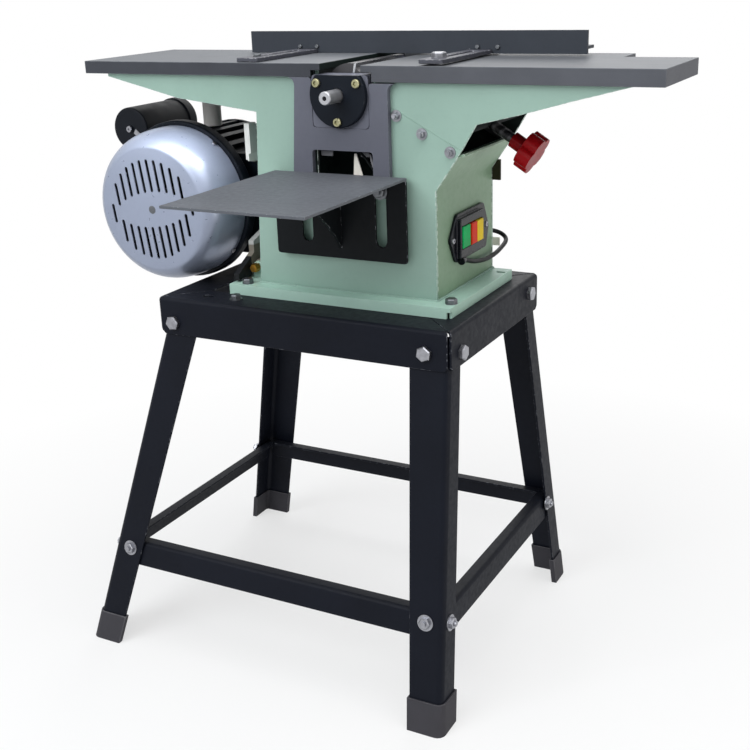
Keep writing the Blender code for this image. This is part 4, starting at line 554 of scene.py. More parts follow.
def plain_mesh(obj):
    """The mesh that obj evaluates to. obj is removed."""
    bpy.context.view_layer.update()
    graph = bpy.context.evaluated_depsgraph_get()
    mesh = bpy.data.meshes.new_from_object(obj.evaluated_get(graph))
    bpy.data.objects.remove(obj)
    return mesh


def mesh_of(skin, name):
    """The bmesh as a mesh. The bmesh is freed."""
    mesh = bpy.data.meshes.new(name)
    skin.to_mesh(mesh)
    skin.free()
    return mesh


def merged(node, flat=True):
    """A copy of a CAD node's loose triangles as one skin, with flat faces made whole."""
    skin = bmesh.new()
    skin.from_mesh(frame["nodes"][node].data)
    bmesh.ops.remove_doubles(skin, verts=skin.verts, dist=0.004 * MM)
    if flat:
        bmesh.ops.dissolve_limit(skin, angle_limit=math.radians(0.5), verts=skin.verts, edges=skin.edges)
    return mesh_of(skin, node)


def bored(obj, cutter):
    """Takes the cutter's shape out of obj when it is evaluated."""
    hole = obj.modifiers.new("hole", "BOOLEAN")
    hole.operation = "DIFFERENCE"
    hole.object = cutter


CORNER = 35  # Degrees between two faces from which their edge is rounded


def finished(node, material, edge=0.6 * MM, steps=2, cutters=(), flat=True):
    """A copy of a CAD node with holes cut, its edges rounded and marked as worn, and its round faces smooth."""
    mesh = merged(node, flat)
    obj = linked(f"{node}_blank", mesh)
    mesh.materials.append(MATERIALS[material])
    mesh.materials.append(MATERIALS[material])
    for cutter in cutters:
        bored(obj, cutter)
    bevel = obj.modifiers.new("edge", "BEVEL")
    bevel.width = edge
    bevel.segments = steps
    bevel.limit_method = "ANGLE"
    bevel.angle_limit = math.radians(CORNER)
    bevel.use_clamp_overlap = True
    bevel.material = 1
    smoothed(mesh, CORNER + 25)
    weighted = obj.modifiers.new("flat faces", "WEIGHTED_NORMAL")
    weighted.keep_sharp = True
    weighted.weight = 80
    result = plain_mesh(obj)
    worn = result.attributes.new("worn", "FLOAT", "FACE")
    worn.data.foreach_set("value", [float(face.material_index == 1) for face in result.polygons])
    result.polygons.foreach_set("material_index", [0] * len(result.polygons))
    for cutter in cutters:
        bpy.data.objects.remove(cutter)
    return piece(result, f"{node}_finish", material, BODY_OF[node], SLOTS[node], node)


def wall(skin, first, second):
    """Faces from one ring of points to the next, all the way round."""
    for i in range(len(first)):
        j = (i + 1) % len(first)
        skin.faces.new((first[i], first[j], second[j], second[i]))


def oblong(centre, along, square, size, width, depth):
    """A cutter for an oblong hole: centre, the way it is long, the way it is drilled."""
    along, square = Vector(along).normalized(), Vector(square).normalized()
    across = along.cross(square)
    outline = []
    reach = (size - width) / 2
    for turn in range(16):
        angle = math.pi * (turn + 0.5) / 8
        shift = reach if math.cos(angle) > 0 else -reach
        outline.append(along * (shift + width / 2 * math.cos(angle)) + across * width / 2 * math.sin(angle))
    skin = bmesh.new()
    rings = [[skin.verts.new(centre + square * rise + p) for p in outline] for rise in (-depth / 2, depth / 2)]
    skin.faces.new(rings[0][::-1])
    skin.faces.new(rings[1])
    wall(skin, *rings)
    bmesh.ops.recalc_face_normals(skin, faces=skin.faces)
    obj = linked("oblong", mesh_of(skin, "oblong"))
    obj.hide_render = True
    return obj


def lathe(profile, start, toward, sides=32):
    """A turned mesh from (radius, distance) pairs along a line. Its ends are closed."""
    toward = Vector(toward).normalized()
    turn = toward.to_track_quat("Z", "Y").to_matrix()
    skin = bmesh.new()
    rings = []
    for radius, along in profile:
        ring = []
        for step in range(sides):
            angle = 2 * math.pi * step / sides
            flat = Vector((radius * math.cos(angle), radius * math.sin(angle), along))
            ring.append(skin.verts.new(start + turn @ flat))
        rings.append(ring)
    for first, second in zip(rings, rings[1:]):
        wall(skin, first, second)
    skin.faces.new(rings[0][::-1])
    skin.faces.new(rings[-1])
    bmesh.ops.recalc_face_normals(skin, faces=skin.faces)
    return smoothed(mesh_of(skin, "turned"))


def plate_mesh(corners, thickness, edge):
    """A flat plate through places on the drawing, thickened along its normal, with its edges eased."""
    skin = bmesh.new()
    face = skin.faces.new([skin.verts.new(at(*corner)) for corner in corners])
    face.normal_update()
    pushed = bmesh.ops.extrude_face_region(skin, geom=[face])
    moved = [v for v in pushed["geom"] if isinstance(v, bmesh.types.BMVert)]
    bmesh.ops.translate(skin, vec=face.normal * (thickness * MM), verts=moved)
    bmesh.ops.recalc_face_normals(skin, faces=skin.faces)
    bmesh.ops.bevel(skin, geom=skin.edges[:], offset=edge * MM, segments=1, affect="EDGES")
    return mesh_of(skin, "plate")


# Geometry node trees for what repeats


def new_tree(name, sockets):
    """An empty tree with a Geometry in and out and named inputs, its input node and its output node."""
    tree = bpy.data.node_groups.new(name, "GeometryNodeTree")
    tree.interface.new_socket(name="Geometry", in_out="INPUT", socket_type="NodeSocketGeometry")
    for label, kind, default in sockets:
        socket = tree.interface.new_socket(name=label, in_out="INPUT", socket_type=f"NodeSocket{kind}")
        if default is not None:
            socket.default_value = default
    tree.interface.new_socket(name="Geometry", in_out="OUTPUT", socket_type="NodeSocketGeometry")
    given = tree.nodes.new("NodeGroupInput")
    result = tree.nodes.new("NodeGroupOutput")
    return tree, given.outputs, result.inputs


def lifted(tree, geometry, *rises):
    """The geometry moved up its own axis by the sum of the rises."""
    rise = rises[0]
    for more in rises[1:]:
        rise = wire(tree, "add", rise, more)
    return wire(tree, "move", geometry, wire(tree, "rise", rise))


def coated(tree, given, result, copies):
    """Finishes the tree: the copies are made real and take the material."""
    tree.links.new(wire(tree, "coat", wire(tree, "realise", copies), given["Material"]), result["Geometry"])
    return tree


def set_out(tree, given, result, shape):
    """Stands one copy of shape on each site, turned to its axis, and finishes the tree."""
    faced = wire(tree, "align", wire(tree, "site_axis", "axis"))
    spun = wire(tree, "spin", (0, 0, 1), wire(tree, "site_turn", "turn"))
    copies = wire(tree, "copies", given["Geometry"], shape, wire(tree, "rotate", faced, spun))
    return coated(tree, given, result, copies)


def hex_tree():
    """A hexagon head or nut on its washer, with the end of its stud."""
    tree, given, result = new_tree("hexagon fixing", (
        ("Across Flats", "Float", 0.017), ("Head Height", "Float", 0.006), ("Washer Radius", "Float", 0.01),
        ("Washer Thickness", "Float", 0.001), ("Stud Radius", "Float", 0.003), ("Stud Rise", "Float", 0.0),
        ("Material", "Material", None),
    ))
    height, thick, rise = given["Head Height"], given["Washer Thickness"], given["Stud Rise"]
    corner = wire(tree, "multiply", given["Across Flats"], 1 / math.sqrt(3))
    inner = wire(tree, "multiply", corner, 0.86)
    side = wire(tree, "multiply", height, 0.78)
    rim = wire(tree, "multiply", height, 0.22)
    prism = lifted(tree, wire(tree, "cylinder", 6, corner, side), thick, wire(tree, "multiply", side, 0.5))
    cone = lifted(tree, wire(tree, "cone", 6, corner, inner, rim), thick, side)
    washer = wire(tree, "cylinder", 24, given["Washer Radius"], thick)
    washer = lifted(tree, washer, wire(tree, "multiply", thick, 0.5))
    stud = wire(tree, "cylinder", 12, given["Stud Radius"], rise)
    stud = lifted(tree, stud, thick, height, wire(tree, "multiply", rise, 0.5))
    return set_out(tree, given, result, wire(tree, "join", prism, cone, washer, stud))


def socket_tree():
    """A round head with a hexagon socket sunk in it."""
    tree, given, result = new_tree("socket head", (
        ("Head Radius", "Float", 0.005), ("Head Height", "Float", 0.004), ("Socket Radius", "Float", 0.0028),
        ("Sides", "Int", 6), ("Material", "Material", None),
    ))
    radius, height = given["Head Radius"], given["Head Height"]
    side = wire(tree, "multiply", height, 0.75)
    rim = wire(tree, "multiply", height, 0.25)
    body = lifted(tree, wire(tree, "cylinder", 24, radius, side), wire(tree, "multiply", side, 0.5))
    cone = lifted(tree, wire(tree, "cone", 24, radius, wire(tree, "multiply", radius, 0.86), rim), side)
    whole = wire(tree, "union", wire(tree, "join", body, cone))
    drift = wire(tree, "cylinder", given["Sides"], given["Socket Radius"], height)
    drift = lifted(tree, drift, wire(tree, "multiply", height, 0.95))
    return set_out(tree, given, result, wire(tree, "difference", whole, drift))


def bead_tree():
    """A weld seam: overlapping ripples along a line."""
    tree, given, result = new_tree("weld seam", (
        ("Width", "Float", 0.004), ("Ripple", "Float", 0.0025), ("Seed", "Int", 3),
        ("Material", "Material", None),
    ))
    even = wire(tree, "resample", wire(tree, "line", given["Geometry"]), given["Ripple"])
    ball = wire(tree, "ball", wire(tree, "multiply", given["Width"], 0.5), 2)
    uneven = wire(tree, "random", 0.82, 1.12, given["Seed"])
    copies = wire(tree, "copies", wire(tree, "points", even), ball, None, uneven)
    return coated(tree, given, result, copies)


def thread_tree():
    """A screw's thread: a small three-sided ridge wound up a helix."""
    tree, given, result = new_tree("screw thread", (
        ("Radius", "Float", 0.006), ("Pitch", "Float", 0.002), ("Length", "Float", 0.05),
        ("Ridge", "Float", 0.0007), ("Material", "Material", None),
    ))
    radius, length = given["Radius"], given["Length"]
    helix = wire(tree, "helix", 14, wire(tree, "divide", length, given["Pitch"]), radius, radius, length)
    ridge = wire(tree, "ring", 3, given["Ridge"])
    return set_out(tree, given, result, wire(tree, "sweep", helix, ridge, True))


def grown(tree, source, sizes, material):
    """The plain mesh that a tree makes from a source mesh with these sizes."""
    obj = linked(f"{tree.name} source", source)
    modifier = obj.modifiers.new("tree", "NODES")
    modifier.node_group = tree
    for item in tree.interface.items_tree:
        if item.in_out == "OUTPUT" or item.name == "Geometry":
            continue
        modifier[item.identifier] = MATERIALS[material] if item.name == "Material" else sizes[item.name]
    mesh = plain_mesh(obj)
    if not mesh.polygons:
        raise RuntimeError(f"the tree {tree.name} made nothing")
    return mesh


def site_mesh(sites):
    """One point for each (place, way it faces, turn in degrees)."""
    mesh = bpy.data.meshes.new("sites")
    mesh.from_pydata([place for place, _, _ in sites], [], [])
    axes = [number for _, axis, _ in sites for number in Vector(axis).normalized()]
    mesh.attributes.new("axis", "FLOAT_VECTOR", "POINT").data.foreach_set("vector", axes)
    turns = [math.radians(turn) for _, _, turn in sites]
    mesh.attributes.new("turn", "FLOAT", "POINT").data.foreach_set("value", turns)
    return mesh


TREE_OF = {}


def fixings(name, tree, sites, sizes, material, body="root", slot="bright_steel"):
    """One piece of like fixings, a copy of the tree's shape on each site."""
    mesh = grown(TREE_OF[tree], site_mesh(sites), sizes, material)
    return piece(smoothed(mesh, 30), name, None, body, slot)


def outer_pairs(rows, ways, nodes, more):
    """Sites on opposite sides of the machine, where lines from outside meet the nodes of each side.

    ways are the two lines' directions, and nodes are the names for each. A row is (turn, place across the
    lines, height), and the second site of a pair is turned by more degrees."""
    sites = []
    for turn, across, z in rows:
        for way, names, extra in zip(ways, nodes, (0, more)):
            start = (across, -FAR * way.y, z) if way.y else (-FAR * way.x, across, z)
            sites.append((*landed(at(*start), way, *names), turn + extra))
    return sites


def hex_sizes(flats, height, washer=0.0, thick=0.0, stud=0.0, rise=0.0):
    """Inputs of the hexagon tree. A washer of no width hides inside the head."""
    return {
        "Across Flats": flats, "Head Height": height, "Washer Radius": max(washer, flats * 0.7) / 2,
        "Washer Thickness": max(thick, 0.2 * MM), "Stud Radius": max(stud / 2, 0.5 * MM),
        "Stud Rise": max(rise, 0.05 * MM),
    }


# Operators


# Name, place, what it is aimed at, width and height, power and colour
LAMPS = (
    ("overhead softbox", (0.45, -0.35, 2.4), (0, 0, 0.6), (2.2, 2.2), 38, (1, 1, 1)),
    ("front softbox", (-1.0, -2.7, 2.3), (0, 0, 0.45), (2.2, 1.8), 66, (0.95, 0.98, 1)),
    ("right softbox", (2.4, -0.2, 0.3), (0, 0, 0.0), (1.2, 0.5), 10, (1, 0.93, 0.84)),
    ("cowl strip", (-0.205, -0.085, 0.772), (-0.235, -0.045, 0.62), (0.22, 0.05), 0.55, (0.95, 0.98, 1)),
    ("rear softbox", (-0.6, 2.6, 1.8), (0, 0, 0.5), (1.8, 1.4), 14, (1, 1, 1)),
)


def seen(tree, *rays):
    """1 for rays of these kinds, which meet the background itself and not its light."""
    path = wire(tree, "rays")
    share = path[rays[0]]
    for ray in rays[1:]:
        share = wire(tree, "larger", share, path[ray])
    return share


class PLANER_OT_stage(bpy.types.Operator):
    """Camera, floor, lamps and world"""

    bl_idname = "planer.stage"
    bl_label = "Stage"

    def execute(self, context):
        scene = context.scene
        scene.view_settings.view_transform = "Standard"
        self.make_camera(scene)
        self.make_world(scene)
        self.make_floor()
        for name, place, aim, size, power, tint in LAMPS:
            lamp = bpy.data.lights.new(name, "AREA")
            lamp.shape = "RECTANGLE"
            lamp.size, lamp.size_y = size
            lamp.energy = power
            lamp.color = tint
            obj = linked(name, lamp)
            obj.location = place
            obj.rotation_euler = (Vector(aim) - Vector(place)).to_track_quat("-Z", "Y").to_euler()
        return {"FINISHED"}

    def make_camera(self, scene):
        """Stands front right of the machine and looks down on it, leaning a little to the left."""
        azimuth, pitch, roll = (math.radians(angle) for angle in (28.45, 19.72, -1.97))
        ahead = Vector((
            -math.sin(azimuth) * math.cos(pitch), math.cos(azimuth) * math.cos(pitch), -math.sin(pitch),
        ))
        side = Vector((math.cos(azimuth), math.sin(azimuth), 0))
        above = side.cross(ahead)
        rolled_side = side * math.cos(roll) + above * math.sin(roll)
        rolled_above = above * math.cos(roll) - side * math.sin(roll)
        pose = Matrix((rolled_side, rolled_above, -ahead)).transposed().to_4x4()
        pose.translation = at(782.7, -1306.3, 907.3)
        data = bpy.data.cameras.new("camera")
        data.lens = 55.3
        data.sensor_width = 36
        data.clip_start = 0.02
        camera = linked("camera", data)
        camera.matrix_world = pose
        scene.camera = camera

    def make_world(self, scene):
        """White to look at, and a dimmer and slightly cool light on the object."""
        world = bpy.data.worlds.new("studio")
        scene.world = world
        world.use_nodes = True
        tree = world.node_tree
        tree.nodes.clear()
        share = seen(tree, "Is Camera Ray", "Is Glossy Ray", "Is Transmission Ray")
        fill = wire(tree, "background", (0.95, 0.97, 1.0, 1), 0.31)
        white = wire(tree, "background", (1, 1, 1, 1), 1.0)
        wire(tree, "world", wire(tree, "mix_shaders", share, fill, white))

    def make_floor(self):
        """Pale near the machine, where it holds the shadow, and turning to plain white further out."""
        reach = 9.0
        mesh = bpy.data.meshes.new("floor")
        corners = [(-reach, -reach, 0), (reach, -reach, 0), (reach, reach, 0), (-reach, reach, 0)]
        mesh.from_pydata(corners, [], [(0, 1, 2, 3)])
        floor = linked("floor", mesh)
        material, tree, shader, place = new_material("pale_studio_floor")
        shader.inputs["Base Color"].default_value = colour_of("F1F1F1")
        shader.inputs["Roughness"].default_value = 0.9
        shader.inputs["Specular IOR Level"].default_value = 0.1
        far = wire(tree, "ramp", wire(tree, "length", place), 0.45, 1.1, 0.62, 1.0)
        share = wire(tree, "multiply", seen(tree, "Is Camera Ray", "Is Glossy Ray"), far)
        white = wire(tree, "emission", (1, 1, 1, 1), 1.0)
        both = wire(tree, "mix_shaders", share, shader.outputs[0], white)
        tree.links.new(both, tree.nodes["Material Output"].inputs["Surface"])
        mesh.materials.append(material)


def smooth_route(points, spacing):
    """Evenly spaced points on a smooth curve through the given ones."""
    points = [Vector(point) for point in points]
    ends = [2 * points[0] - points[1], *points, 2 * points[-1] - points[-2]]
    dense = []
    for i in range(1, len(ends) - 2):
        a, b, c, d = ends[i - 1 : i + 3]
        for step in range(20):
            t = step / 20
            square = (2 * a - 5 * b + 4 * c - d) * t**2
            cube = (3 * b - a - 3 * c + d) * t**3
            dense.append(0.5 * (2 * b + (c - a) * t + square + cube))
    dense.append(points[-1])
    total = sum((after - before).length for before, after in zip(dense, dense[1:]))
    count = max(2, round(total / spacing))
    found = [dense[0]]
    walked, target = 0.0, total / count
    for before, after in zip(dense, dense[1:]):
        length = (after - before).length
        while walked + length >= target and len(found) < count:
            found.append(before.lerp(after, (target - walked) / length))
            target += total / count
        walked += length
    found.append(dense[-1])
    return found


# From the gland under the switch, along the wall, round the rear edge and in at the back plate
CABLE_ROUTE = (
    (214.3, -12, 552), (214.3, 2, 547.6), (214.3, 18.5, 542.8), (214.3, 42.4, 538.4), (214.3, 66.9, 535.9),
    (214, 93, 536.4), (213, 115, 538.8), (211, 135, 541.7), (207, 146.4, 544.8), (200, 150, 549.2),
    (192, 145.5, 553.5), (184, 133, 557.5), (179, 121, 560), (178, 110, 560.8), (178, 101.3, 560.8),
)


class PLANER_OT_cable(bpy.types.Operator):
    """The switch's cable, from the gland under the switch round the rear edge and in at the back"""

    bl_idname = "planer.cable"
    bl_label = "Cable"

    def execute(self, context):
        sizes = context.scene.planer_sizes
        points = smooth_route([at(*point) for point in CABLE_ROUTE], 0.6 * sizes.cable)
        curve = bpy.data.curves.new("switch_lead", "CURVE")
        curve.dimensions = "3D"
        curve.bevel_depth = sizes.cable / 2
        curve.bevel_resolution = 5
        curve.use_fill_caps = True
        spline = curve.splines.new("POLY")
        spline.points.add(len(points) - 1)
        for place, point in zip(spline.points, points):
            place.co = (*point, 1)
        spline.use_smooth = True
        lead = linked("switch_lead", curve)
        curve.materials.append(MATERIALS["pvc"])
        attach(lead, BODY_OF["switch_cable"])
        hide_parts("switch_cable")
        return {"FINISHED"}


class PLANER_OT_stand(bpy.types.Operator):
    """Legs, aprons, stretchers and the rubber caps of the feet"""

    bl_idname = "planer.stand"
    bl_label = "Stand"

    def execute(self, context):
        edge = context.scene.planer_sizes.edge_round
        for corner in [f"{end}_{side}" for end in ("front", "rear") for side in ("left", "right")]:
            finished(f"leg_{corner}", "stand", edge)
            finished(f"foot_cap_{corner}", "rubber", 1.2 * MM)
        slot = oblong(at(-106, -119, 498.5), (1, 0, 0), (0, 0, 1), 16 * MM, 8 * MM, 12 * MM)
        for side, holes in (("front", [slot]), ("rear", []), ("left", []), ("right", [])):
            finished(f"apron_{side}", "stand", edge * 1.4, cutters=holes)
            finished(f"stretcher_{side}", "stand", edge)
        return {"FINISHED"}


class PLANER_OT_body(bpy.types.Operator):
    """Base, body plates, walls, front frame, bearing blocks and ways"""

    bl_idname = "planer.body"
    bl_label = "Body"

    def execute(self, context):
        edge = context.scene.planer_sizes.edge_round
        hole = oblong(at(226, 82, 512), (1, 0, 0), (0, 0, 1), 13 * MM, 7 * MM, 12 * MM)
        finished("base_skirt", "green_base_painted_light", 0.8 * MM, cutters=[hole])
        for key, node in (
            ("front", "front_plate"), ("back", "back_plate"), ("left", "left_wall"), ("right", "right_wall"),
        ):
            finished(node, f"green_{key}", edge)
        # The chip chute takes near-black painted shade.
        finished("chip_chute", "primer", edge)
        finished("front_frame", "grey", 0.3 * MM, steps=1, flat=False)
        for node in ("bearing_block_front", "bearing_block_rear"):
            finished(node, "bearing_grey", 0.8 * MM)
        for node in ("way_front", "way_rear"):
            finished(node, "way", 0.5 * MM)
        # The cross tie takes near-black painted shade.
        finished("cross_tie", "primer", 0.5 * MM)
        self.housing_face()
        self.inner_sheets()
        self.rear_plates()
        return {"FINISHED"}

    def housing_face(self):
        """The grey face of the bearing's housing, flush in the frame's slot and bored for the shaft."""
        outline = [(x, -79, z) for x, z in ((47.7, 720.7), (124.3, 720.7), (124.3, 782), (47.7, 782))]
        face = linked("face", plate_mesh(outline, 5.4, 0.3))
        x, z = CUTTER_AXIS
        bore = linked("bore", lathe(((13 * MM, 0), (13 * MM, 12 * MM)), at(x, -76, z), FRONT))
        bored(face, bore)
        mesh = plain_mesh(face)
        bpy.data.objects.remove(bore)
        piece(mesh, "housing_face", "bearing_grey", "root", "frame_grey")

    def inner_sheets(self):
        """What shows in the frame's window: a near-white strip of painted light, a chip guide's edge and two
        grey blocks.
        """
        shapes = {
            # The near-white strip on the left is painted light, where light shows through the window.
            "painted_light_strip_left": ("inner", ((95.4, 688), (98.4, 688), (113, 640), (92, 640))),
            "chip_guide_right": ("inner_grey", ((116.1, 688), (118.3, 688), (129, 645), (126, 645))),
            "guide_block_left": ("inner_grey", ((48, 683.6), (64.3, 683.6), (64.3, 690), (48, 690))),
            "guide_block_right": ("inner_grey", ((103.5, 684.4), (115, 684.4), (115, 690), (103.5, 690))),
        }
        for name, (material, corners) in shapes.items():
            mesh = plate_mesh([(x, -70, z) for x, z in corners], 1.6, 0.2)
            piece(mesh, name, material, "root", "grey_paint")

    def rear_plates(self):
        """A dark strap of painted shade and the cable's clip on the back plate, a little past the right wall.
        """
        for name, corners, thickness, edge, material, slot in (
            # The dark strap stands for the back plate's edge in shadow: painted shade.
            ("rear_painted_shade_strap", ((186, 660), (218, 660), (218, 633), (186, 633)), 3, 0.3, "olive", "black_enamel"),
            ("cable_clip", ((194, 556), (217, 556), (217, 545), (194, 545)), 1.5, 0.2, "inner", "grey_paint"),
        ):
            mesh = plate_mesh([(x, BACK_FACE, z) for x, z in corners], thickness, edge)
            piece(mesh, name, material, "root", slot)


class PLANER_OT_tables(bpy.types.Operator):
    """Outfeed and infeed tables and the infeed's carriage"""

    bl_idname = "planer.tables"
    bl_label = "Tables"

    def execute(self, context):
        for side in ("outfeed", "infeed"):
            finished(f"{side}_table", side, 0.7 * MM)
        finished("infeed_carriage", "iron", 1 * MM)
        return {"FINISHED"}


class PLANER_OT_cutter(bpy.types.Operator):
    """Cutter block, knives, bearings and cap, pulleys, belt and guard"""

    bl_idname = "planer.cutter"
    bl_label = "Cutter and drive"

    def execute(self, context):
        finished("cutter_block", "oiled", 0.4 * MM)
        for node in ("knife_upper", "knife_lower"):
            finished(node, "knife", 0.2 * MM)
        for node in ("bearing_front", "bearing_rear"):
            finished(node, "bright", 0.4 * MM)
        finished("bearing_cap", "black", 0.8 * MM)
        for node in ("cutter_pulley", "motor_pulley"):
            finished(node, "iron", 0.6 * MM)
        finished("drive_belt", "belt", 0.8 * MM)
        finished("belt_guard", "black", 0.8 * MM)
        return {"FINISHED"}


class PLANER_OT_fence(bpy.types.Operator):
    """Fence and its two slotted bars"""

    bl_idname = "planer.fence"
    bl_label = "Fence"

    def execute(self, context):
        finished("fence", "fence", 0.6 * MM)
        for node in ("slide_bar_left", "slide_bar_right"):
            finished(node, "bar", 0.8 * MM)
        return {"FINISHED"}


class PLANER_OT_shelf(bpy.types.Operator):
    """Mortising shelf"""

    bl_idname = "planer.shelf"
    bl_label = "Shelf"

    def execute(self, context):
        finished("mortise_shelf", "shelf", context.scene.planer_sizes.edge_round)
        return {"FINISHED"}


class PLANER_OT_height(bpy.types.Operator):
    """Height screw, its thread and its knob"""

    bl_idname = "planer.height"
    bl_label = "Height screw and knob"

    def execute(self, context):
        sizes = context.scene.planer_sizes
        finished("height_screw", "screw", 0.5 * MM)
        slope = Vector((math.cos(INCLINE), 0, -math.sin(INCLINE)))
        knob = at(*KNOB_MIDDLE)
        grip = finished("height_knob", "knob", 2.2 * MM, steps=3)
        for point in grip.data.vertices:
            axis = knob + slope * (point.co - knob).dot(slope)
            point.co = axis + (point.co - axis) * sizes.knob_share
        sites = [(knob - slope * 62 * MM, slope, 0)]
        inputs = {"Radius": 5.9 * MM, "Pitch": sizes.thread_pitch, "Length": 50 * MM, "Ridge": 0.7 * MM}
        fixings("height_screw_thread", "thread", sites, inputs, "screw", "height_wheel")
        return {"FINISHED"}


class PLANER_OT_motor(bpy.types.Operator):
    """Motor with its cowl, fan, capacitor, plate and stay"""

    bl_idname = "planer.motor"
    bl_label = "Motor"

    def execute(self, context):
        cowl = finished("fan_cowl", "silver", 0.5 * MM)
        # The strip lamp over the cowl lights it alone, or the arm behind it would glare.
        lit = bpy.data.collections.new("lit_by_cowl_strip")
        lit.objects.link(cowl)
        bpy.data.objects["cowl strip"].light_linking.receiver_collection = lit
        finished("cooling_fan", "fan", 0.4 * MM)
        finished("motor_end_ring", "black", 0.8 * MM)
        finished("motor_frame", "black", 0.5 * MM)
        finished("rotor_shaft", "bright", 0.5 * MM)
        finished("capacitor", "capacitor", 1 * MM)
        finished("motor_plate", "plate_grey", 0.6 * MM)
        finished("motor_stay", "stay_grey", 0.5 * MM)
        self.cowl_plug()
        self.capacitor_strap()
        self.hinge_and_tab()
        return {"FINISHED"}

    def cowl_plug(self):
        """A shallow dished plug in the middle of the cowl's face."""
        x, z = MOTOR_AXIS
        profile = ((5.4 * MM, -0.6 * MM), (5.4 * MM, 0.25 * MM), (4.6 * MM, 0.5 * MM), (3.2 * MM, 0.2 * MM))
        piece(lathe(profile, at(x, -105, z), FRONT, 24), "cowl_plug", "dull_zinc", "root", "silver_paint")

    def capacitor_strap(self):
        """A tinned strap from the capacitor's screw down to the ring."""
        near = low("capacitor").y / MM - DATUM.y / MM - 0.4
        corners = ((-286, near, 692), (-262, -21, 672), (-258, -21, 678), (-282, near, 698))
        piece(plate_mesh(corners, 1.2, 0.2), "capacitor_strap", "zinc", "root", "bright_steel")

    def hinge_and_tab(self):
        """The hinge's pin with its brass nut, and the cross foot of the plate's tab."""
        x, z = HINGE_AXIS
        pin = lathe(((4 * MM, 0), (4 * MM, 150 * MM)), at(x, -54, z), REAR, 20)
        piece(pin, "hinge_pin", "dull_zinc", "root", "bright_steel")
        profile = ((5.2 * MM, 0), (6.2 * MM, 1.2 * MM), (6.2 * MM, 10 * MM), (5.4 * MM, 11 * MM))
        piece(lathe(profile, at(x, -55.4, z), FRONT, 6), "hinge_nut", "brass", "root", "bright_steel")
        corners = [(-75.9, y, z) for y, z in ((-47, 667), (-21, 667), (-21, 676.5), (-47, 676.5))]
        piece(plate_mesh(corners, 1.4, 0.2), "tab_foot", "tab", "root", "grey_paint")


class PLANER_OT_switch(bpy.types.Operator):
    """Switch, its three buttons and the gland of its cable"""

    bl_idname = "planer.switch"
    bl_label = "Switch"

    def execute(self, context):
        finished("switch_box", "switch", 0.9 * MM, steps=3)
        for colour in ("green", "red", "yellow"):
            finished(f"button_{colour}", f"{colour}_button", 0.5 * MM)
        collar = ((5 * MM, 0), (5 * MM, 3 * MM), (4.2 * MM, 6 * MM), (3.3 * MM, 10 * MM))
        gland = lathe(collar, at(214.3, -21, 552), REAR, 24)
        piece(gland, "cable_gland", "switch", "root", "black_plastic")
        return {"FINISHED"}


